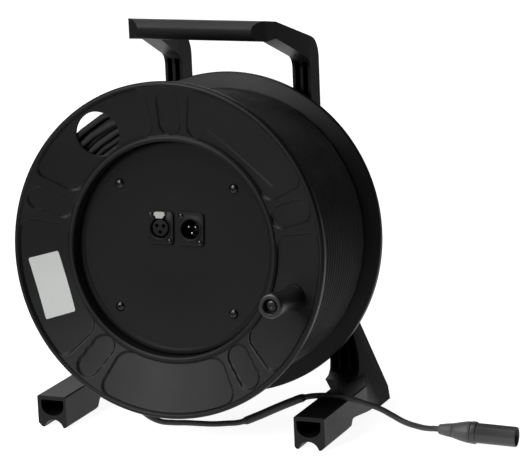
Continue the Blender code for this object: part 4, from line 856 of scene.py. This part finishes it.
SOFT_COPIES = (("release_tab", "latch_tab", 0.4, "release_tab", "release_tab", tab_plastic),
               ("handle_bar", "handle_moulding", 0.6, "frame", "black_plastic", black_plastic),
               ("hub_carrier", "hub_bridge", 0.6, "frame", "black_plastic", black_plastic),
               ("axle", "axle_bolt", 0.5, "frame", "zinc_steel", zinc),
               ("axle_nut", "axle_nut_piece", 0.5, "frame", "zinc_steel", zinc),
               ("head_washer", "washer_front", 0.3, "frame", "zinc_steel", zinc),
               ("thrust_washer", "washer_middle", 0.3, "frame", "zinc_steel", zinc),
               ("nut_washer", "washer_rear", 0.3, "frame", "zinc_steel", zinc),
               ("front_bush", "bush_front", 0.2, "drum", "bush_plastic", bush_plastic),
               ("rear_bush", "bush_rear", 0.2, "drum", "bush_plastic", bush_plastic))
for node, name, width, body, slot, finish in SOFT_COPIES:
    piece = copy_of(node, name, width)
    belongs(piece, body, slot, finish, node)
    print(name, len(piece.data.polygons), "faces")

# %% [markdown]
# ## Legs
#
# The two side mouldings are soft copies too, with one cut before their edges are rounded. Where the leg
# curves forward onto the foot, its inner side stands proud of the foot's, and a prism is cut off there.
# The cut works on the left leg only: the right one comes out as it went in, and no
# error is printed. A boolean's result is always worth measuring, and this ledge is still to be mended.

# %% Side mouldings
TRIM = ((50, ((116.5, -1), (116.4, 46), (113, 64), (70, 64), (70, -1))),
        (100, ((92.1, -1), (92, 46), (88.1, 64), (70, 64), (70, -1))))  # depth and outline in (x, z)


def trim_wedge(side):
    """A five-sided prism beside the leg's foot: a cylinder whose rings are moved onto two outlines."""
    bpy.ops.object.select_all(action="DESELECT")
    bpy.ops.mesh.primitive_cylinder_add(vertices=5, radius=MM, depth=MM)
    wedge = bpy.context.object
    for way, (depth, outline) in zip((-1, 1), TRIM):
        ring = [v for v in wedge.data.vertices if v.co.z * way > 0]
        ring.sort(key=lambda v: math.atan2(v.co.y, v.co.x))
        for vertex, (x, z) in zip(ring, outline):
            vertex.co = Vector((side * x, depth, z)) * MM
    edit_all(wedge)
    bpy.ops.mesh.normals_make_consistent(inside=False)
    bpy.ops.object.mode_set(mode="OBJECT")
    return wedge


for node, name, side in (("left_side_frame", "left_leg_moulding", -1),
                         ("right_side_frame", "right_leg_moulding", 1)):
    piece = copy_of(node, name, 0)
    cut(piece, trim_wedge(side))
    soften(piece, 0.6)
    belongs(piece, "frame", "black_plastic", black_plastic, node)
    print(name, len(piece.data.polygons), "faces")

# %% [markdown]
# ## Crank knob
#
# The knob is a waisted grip that turns on a pin, whose round head sits in the grip's hollow end. Both are
# turned. The pin's head has a small dimple from its forming.

# %% Knob and pin
KNOB_PLACE = DRUM @ shift(knob_x, 0, knob_z)
grip_side = [(-50, 7.4), (-50, 8.6)] + rounded((-47.6, 9.1), 2.4, 180, 90, 6)
grip_side += [(-44, 11.48), (-40, 11.4), (-34, 10.9), (-28, 10.25), (-20, 9.72), (-12, 9.6), (-5, 9.62),
              (0, 10), (2.5, 10.35), (4.1, 10.6), (4.55, 10.5), (4.72, 10.2), (4.72, 3.9), (-44, 3.9),
              (-44, 6.1), (-49, 6.8), (-49.7, 7)]
grip = lathe("crank_grip", grip_side, 96, KNOB_PLACE)
belongs(grip, "crank_knob", "black_plastic", grip_finish, "knob_grip")
pin_side = [(-46.2, 0), (-46.3, 0.9), (-46.75, 1.3), (-46.9, 1.8), (-46.85, 3.2), (-46.6, 4.3), (-46.1, 5.05),
            (-45.5, 5.4), (-44.3, 5.4), (-44.3, 3.5), (8.95, 3.5), (8.95, 0)]
pin = lathe("crank_pin", pin_side, 64, KNOB_PLACE)
belongs(pin, "drum", "black_screw", black_steel, "knob_pin")
print("crank knob:", len(grip.data.polygons), "faces")

# %% [markdown]
# ## Other screws
#
# The screws of the frame and of the handle and the three long ones behind the web are copies of the same
# cross-head screw. Those behind turn their heads to the back, and the handle's look down.

# %% Frame, handle and tie screws
TO_BACK = Matrix.Rotation(math.pi, 4, "Z")
DOWN = Matrix.Rotation(math.pi / 2, 4, "X")
FRAME_SCREWS = ((-61.55, 150.84), (-61.55, 173.84), (61.55, 150.84), (61.55, 173.84))
FRAME_SCREW_DEPTH = 128.4
HANDLE_SCREW_AT = (31.7, 365.5)
TIE_CIRCLE, TIE_HEAD_DEPTH = 87.5, 153.3
for i, (x, z) in enumerate(FRAME_SCREWS):
    put_screw(f"frame_screw_{i + 1}", shift(x, FRAME_SCREW_DEPTH, z) @ TO_BACK, 4.1, 1.4, 12, "frame",
              "black_screw", black_steel, 0.8 * i)
for x, side in ((-62, "left"), (62, "right")):
    put_screw(f"handle_screw_{side}", shift(x, *HANDLE_SCREW_AT) @ DOWN, 3.4, 1.6, 8.4, "frame",
              "black_screw", black_steel, x)
for i, turn in enumerate((30, 150, 270)):
    x, z = TIE_CIRCLE * math.cos(math.radians(turn)), TIE_CIRCLE * math.sin(math.radians(turn))
    put_screw(f"tie_screw_{i + 1}", DRUM @ shift(x, TIE_HEAD_DEPTH, z) @ TO_BACK, 4.6, 2.6, 120,
              "drum", "zinc_steel", zinc, 0.6 * i)
bpy.data.objects.remove(SCREW)
print("screws:", [name for name in made if "screw" in name])

# %% [markdown]
# ## Plug
#
# All of the plug is round: a soft boot that tapers onto the cable, a collar that screws it down, and a
# hard shell with three pins deep in its mouth. Each is a turned section on the plug's own axis.

# %% Boot, collar, shell and contacts of the plug
HOLE = 3.05
boot_side = [(0, HOLE), (0, 3.9), (0.25, 4.3), (1.2, 4.75), (4, 5.3), (8, 6), (12.6, 6.62), (13, 6.5),
             (13, HOLE)]
collar_side = [(13.3, HOLE), (13.3, 6.6), (13.6, 6.85), (17, 7.7), (21, 8.7), (25.5, 9.6), (28.6, 10),
               (29.1, 10.05), (29.4, 9.75), (30, 9.75), (30.3, 10.05), (30.7, 10.15), (31.1, 9.8),
               (31.2, 9.4), (31.2, HOLE)]
shell_side = [(SHELL_FROM, HOLE), (SHELL_FROM, 9.8), (31.6, 10.2), (31.9, RING), (35.6, RING), (36, 10.3),
              (36.35, 9.9), (RING_TO, 9.4), (36.8, SHELL), (73.2, SHELL), (73.7, 9.2), (73.95, 9),
              (PLUG_LENGTH, 8.75), (73.9, 8.4), (73.5, 8.2), (47, 8.2), (47, HOLE)]
disc_side = [(59, 0), (59, 7.5), (58.6, 7.9), (48, 7.9), (48, 0)]
for name, side, steps, slot, finish, node in (
        ("soft_boot", boot_side, 64, "plug_boot", boot_rubber, "plug_boot"),
        ("plug_collar_ring", collar_side, 64, "black_plastic", collar_finish, "plug_collar"),
        ("plug_shell_tube", shell_side, 96, "black_plastic", shell_finish, "plug_shell"),
        ("plug_disc", disc_side, 64, "contact_insert", insert_plastic, "plug_insert")):
    belongs(lathe(name, side, steps, PLUG), "frame", slot, finish, node)
for i, (x, z) in enumerate(CONTACTS):
    contact_pin(f"plug_contact_{i + 1}", 71, 52, PLUG @ shift(x, 0, z), "frame",
                f"plug_pin_{i + 1}")
print("plug:", [name for name in made if "plug" in name])

# %% [markdown]
# ## Shrink sleeve
#
# A length of heat-shrink tube sits where the free end rises over the foot. It follows the cable exactly,
# so its line is sampled from the cable's own Bezier spline. Its ends are shrunk down onto the cable.

# %% Sleeve
SLEEVE_FROM, SLEEVE_TO, SLEEVE = 43, 109, 4
knots = free_cable.data.splines[0].bezier_points
bpy.context.view_layer.update()
line = []
for here, there in zip(knots, knots[1:]):
    line += interpolate_bezier(here.co, here.handle_right, there.handle_left, there.co, 13)[:-1]
line = [point for point in line if SLEEVE_FROM * MM < point.x < SLEEVE_TO * MM]
sleeve = cable_curve("heat_shrink", line)
sleeve.data.bevel_depth = SLEEVE * MM
sleeve.data.bevel_resolution = 6
for i, point in enumerate(sleeve.data.splines[0].points):
    away = min(i, len(line) - 1 - i)
    point.radius = 0.72 + 0.28 * ease(away / 2.5)
sleeve_length = length_of(line)
only(sleeve)
bpy.ops.object.convert(target="MESH")
sleeve = bpy.context.object
bpy.ops.object.shade_smooth_by_angle(angle=math.radians(50))
belongs(sleeve, "frame", "shrink_sleeve", sleeve_finish, "cable_sleeve")
print("sleeve:", round(sleeve_length / MM, 1), "mm long")

# %% [markdown]
# ## Label
#
# A paper label is stuck in the left pocket. Its print is left out, so it is a blank pale sheet. A grid is
# laid between its four corners and pressed onto the pocket's floor with the same formula that made the
# pocket, and a thickness is added.

# %% Blank label
LABEL_CORNERS = ((185.7, 144.3), (209.7, 144.2), (212.7, 116.4), (183.3, 116))  # degrees and radius
LABEL_THICK, LABEL_PROUD, LABEL_STEPS = 0.15, 0.05, 14
CORNER_SPOTS = [Vector((radius * math.cos(math.radians(turn)), radius * math.sin(math.radians(turn))))
                for turn, radius in LABEL_CORNERS]
bpy.ops.object.select_all(action="DESELECT")
bpy.ops.mesh.primitive_plane_add(size=1)
label = bpy.context.object
label.name = label.data.name = "blank_label"
edit_all(label)
bpy.ops.mesh.bevel(offset=0.04, segments=4, affect="VERTICES")
bpy.ops.mesh.select_all(action="SELECT")
bpy.ops.mesh.delete(type="ONLY_FACE")
bpy.ops.mesh.select_all(action="SELECT")
bpy.ops.mesh.edge_face_add()
for way in (Vector((1, 0, 0)), Vector((0, 1, 0))):
    for i in range(1, LABEL_STEPS):
        bpy.ops.mesh.select_all(action="SELECT")
        bpy.ops.mesh.bisect(plane_co=way * (i / LABEL_STEPS - 0.5), plane_no=way)
bpy.ops.object.mode_set(mode="OBJECT")
for vertex in label.data.vertices:
    u, v = vertex.co.x + 0.5, vertex.co.y + 0.5
    outer = CORNER_SPOTS[0].lerp(CORNER_SPOTS[1], u)
    inner = CORNER_SPOTS[3].lerp(CORNER_SPOTS[2], u)
    spot = inner.lerp(outer, v)
    depth = dish(spot.length) + press(spot.x, spot.y) - LABEL_PROUD
    vertex.co = Vector((spot.x, depth, spot.y)) * MM
step = label.modifiers.new("thickness", "SOLIDIFY")
step.thickness, step.offset = LABEL_THICK * MM, 1
bpy.ops.object.modifier_apply(modifier=step.name)
settle(label, DRUM, 40)
label.data.materials.append(label_paper)
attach(label, "drum")
made.append(label.name)
print("label:", len(label.data.polygons), "faces")

# %% [markdown]
# ## Floor and light
#
# The object stands on white and is lit softly from above, in front and behind. Black plastic shows what
# surrounds it, so each lamp is placed where one kind of surface mirrors it: the lower half of the dished
# flange, the plug's shell, and the tops of handle and feet. The floor glows by itself, as a light table
# does, in a wedge that the camera sees. Beside and in front of it, where only the black plastic would
# mirror it, it fades out.

# %% Floor
bpy.ops.mesh.primitive_plane_add(size=30)
floor = bpy.context.object
floor.name = "floor"
floor_finish = moulded("floor_paper", (0.4, 0.4, 0.4), 0.8, grain=60, depth=0.0001, spread=0.01)
floor_tree = floor_finish.node_tree
floor_shader = floor_tree.nodes["Principled BSDF"]
floor_shader.inputs["Emission Color"].default_value = (1, 1, 1, 1)


def floor_node(kind, *inputs):
    """A node whose inputs are set to numbers or linked to other nodes' first outputs."""
    made_node = floor_tree.nodes.new(kind)
    for place, value in enumerate(inputs):
        if isinstance(value, bpy.types.Node):
            floor_tree.links.new(value.outputs[0], made_node.inputs[place])
        elif value is not None:
            made_node.inputs[place].default_value = value
    return made_node


def floor_math(operation, *inputs):
    made_node = floor_node("ShaderNodeMath", *inputs)
    made_node.operation = operation
    return made_node


floor_place = floor_node("ShaderNodeSeparateXYZ")
floor_tree.links.new(floor_tree.nodes["Texture Coordinate"].outputs["Object"], floor_place.inputs[0])


def along(way_x, way_y, start):
    """Distance along a direction over the floor, in metres."""
    parts = []
    for output, share in (("X", way_x), ("Y", way_y)):
        part = floor_math("MULTIPLY", None, share)
        floor_tree.links.new(floor_place.outputs[output], part.inputs[0])
        parts.append(part)
    return floor_math("ADD", floor_math("ADD", *parts), start)


LOOK_X, LOOK_Y = -0.393, 0.919  # the way that the camera looks, over the floor
WEDGE_FULL, WEDGE_END = 0.13, 0.3  # distance aside over distance away
FRONT_END, FRONT_FULL = -0.8, -0.32
GLOW, LEAST_GLOW = 0.88, 0.05
across, away = along(LOOK_Y, -LOOK_X, -0.055), along(LOOK_X, LOOK_Y, 2.36)  # both near 0 below the camera
wedge_place = floor_math("DIVIDE", floor_math("ABSOLUTE", across), floor_math("MAXIMUM", away, 0.1))
in_wedge = floor_node("ShaderNodeMapRange", wedge_place, WEDGE_FULL, WEDGE_END, 1, 0)
in_front = floor_node("ShaderNodeMapRange", along(0, 1, 0), FRONT_END, FRONT_FULL, 0, 1)
in_wedge.interpolation_type = in_front.interpolation_type = "SMOOTHSTEP"
glow = floor_math("MULTIPLY_ADD", floor_math("MULTIPLY", in_wedge, in_front), GLOW, LEAST_GLOW)
floor_tree.links.new(glow.outputs[0], floor_shader.inputs["Emission Strength"])
floor.data.materials.append(floor_finish)
print("floor nodes:", len(floor_tree.nodes))

# %% Studio
world = bpy.data.worlds.new("studio_air")
bpy.context.scene.world = world
world.use_nodes = True
world.node_tree.nodes["Background"].inputs["Color"].default_value = (1, 1, 1, 1)
world.node_tree.nodes["Background"].inputs["Strength"].default_value = 0.05


def softbox(name, place, target, width, power):
    bpy.ops.object.light_add(type="AREA", location=place)
    lamp = bpy.context.object
    lamp.name = name
    lamp.data.shape = "SQUARE"
    lamp.data.size = width
    lamp.data.energy = power
    lamp.rotation_euler = (Vector(target) - Vector(place)).to_track_quat("-Z", "Y").to_euler()


softbox("lamp_front", (-0.84, -1.9, 1.1), (0, 0, 0.2), 0.8, 33)
softbox("lamp_front_high", (-0.86, -1.5, 2.3), (0.1, 0, 0.1), 1.2, 34)
softbox("lamp_above", (-0.5, -0.3, 2.3), (0, 0, 0.2), 1.2, 18)
softbox("lamp_behind", (-1.2, 2.6, 1.4), (0, 0, 0.1), 1.4, 10)
bpy.context.scene.view_settings.view_transform = "Standard"
print("floor and lamps are in place")

# %% [markdown]
# ## The cables and their bodies
#
# A cable on the real thing can be unwound, so whoever uses this model has to know how long each is: the
# lengths are printed where the curves are made. Each curve gets its finish and rides on a body. The wound
# ones turn with the drum. The free end keeps its form and stays with the frame, so it parts from the drum's
# cable when the drum turns.

# %% Riding and replacing the cables
for cable, node, body, finish in ((wound_inner, "winding_core", "drum", jacket),
                                  (wound_outer, "winding_outer", "drum", jacket),
                                  (free_cable, "cable_tail", "frame", free_jacket)):
    belongs(cable, body, "cable_jacket", finish, node)
print("pieces made:", len(made))
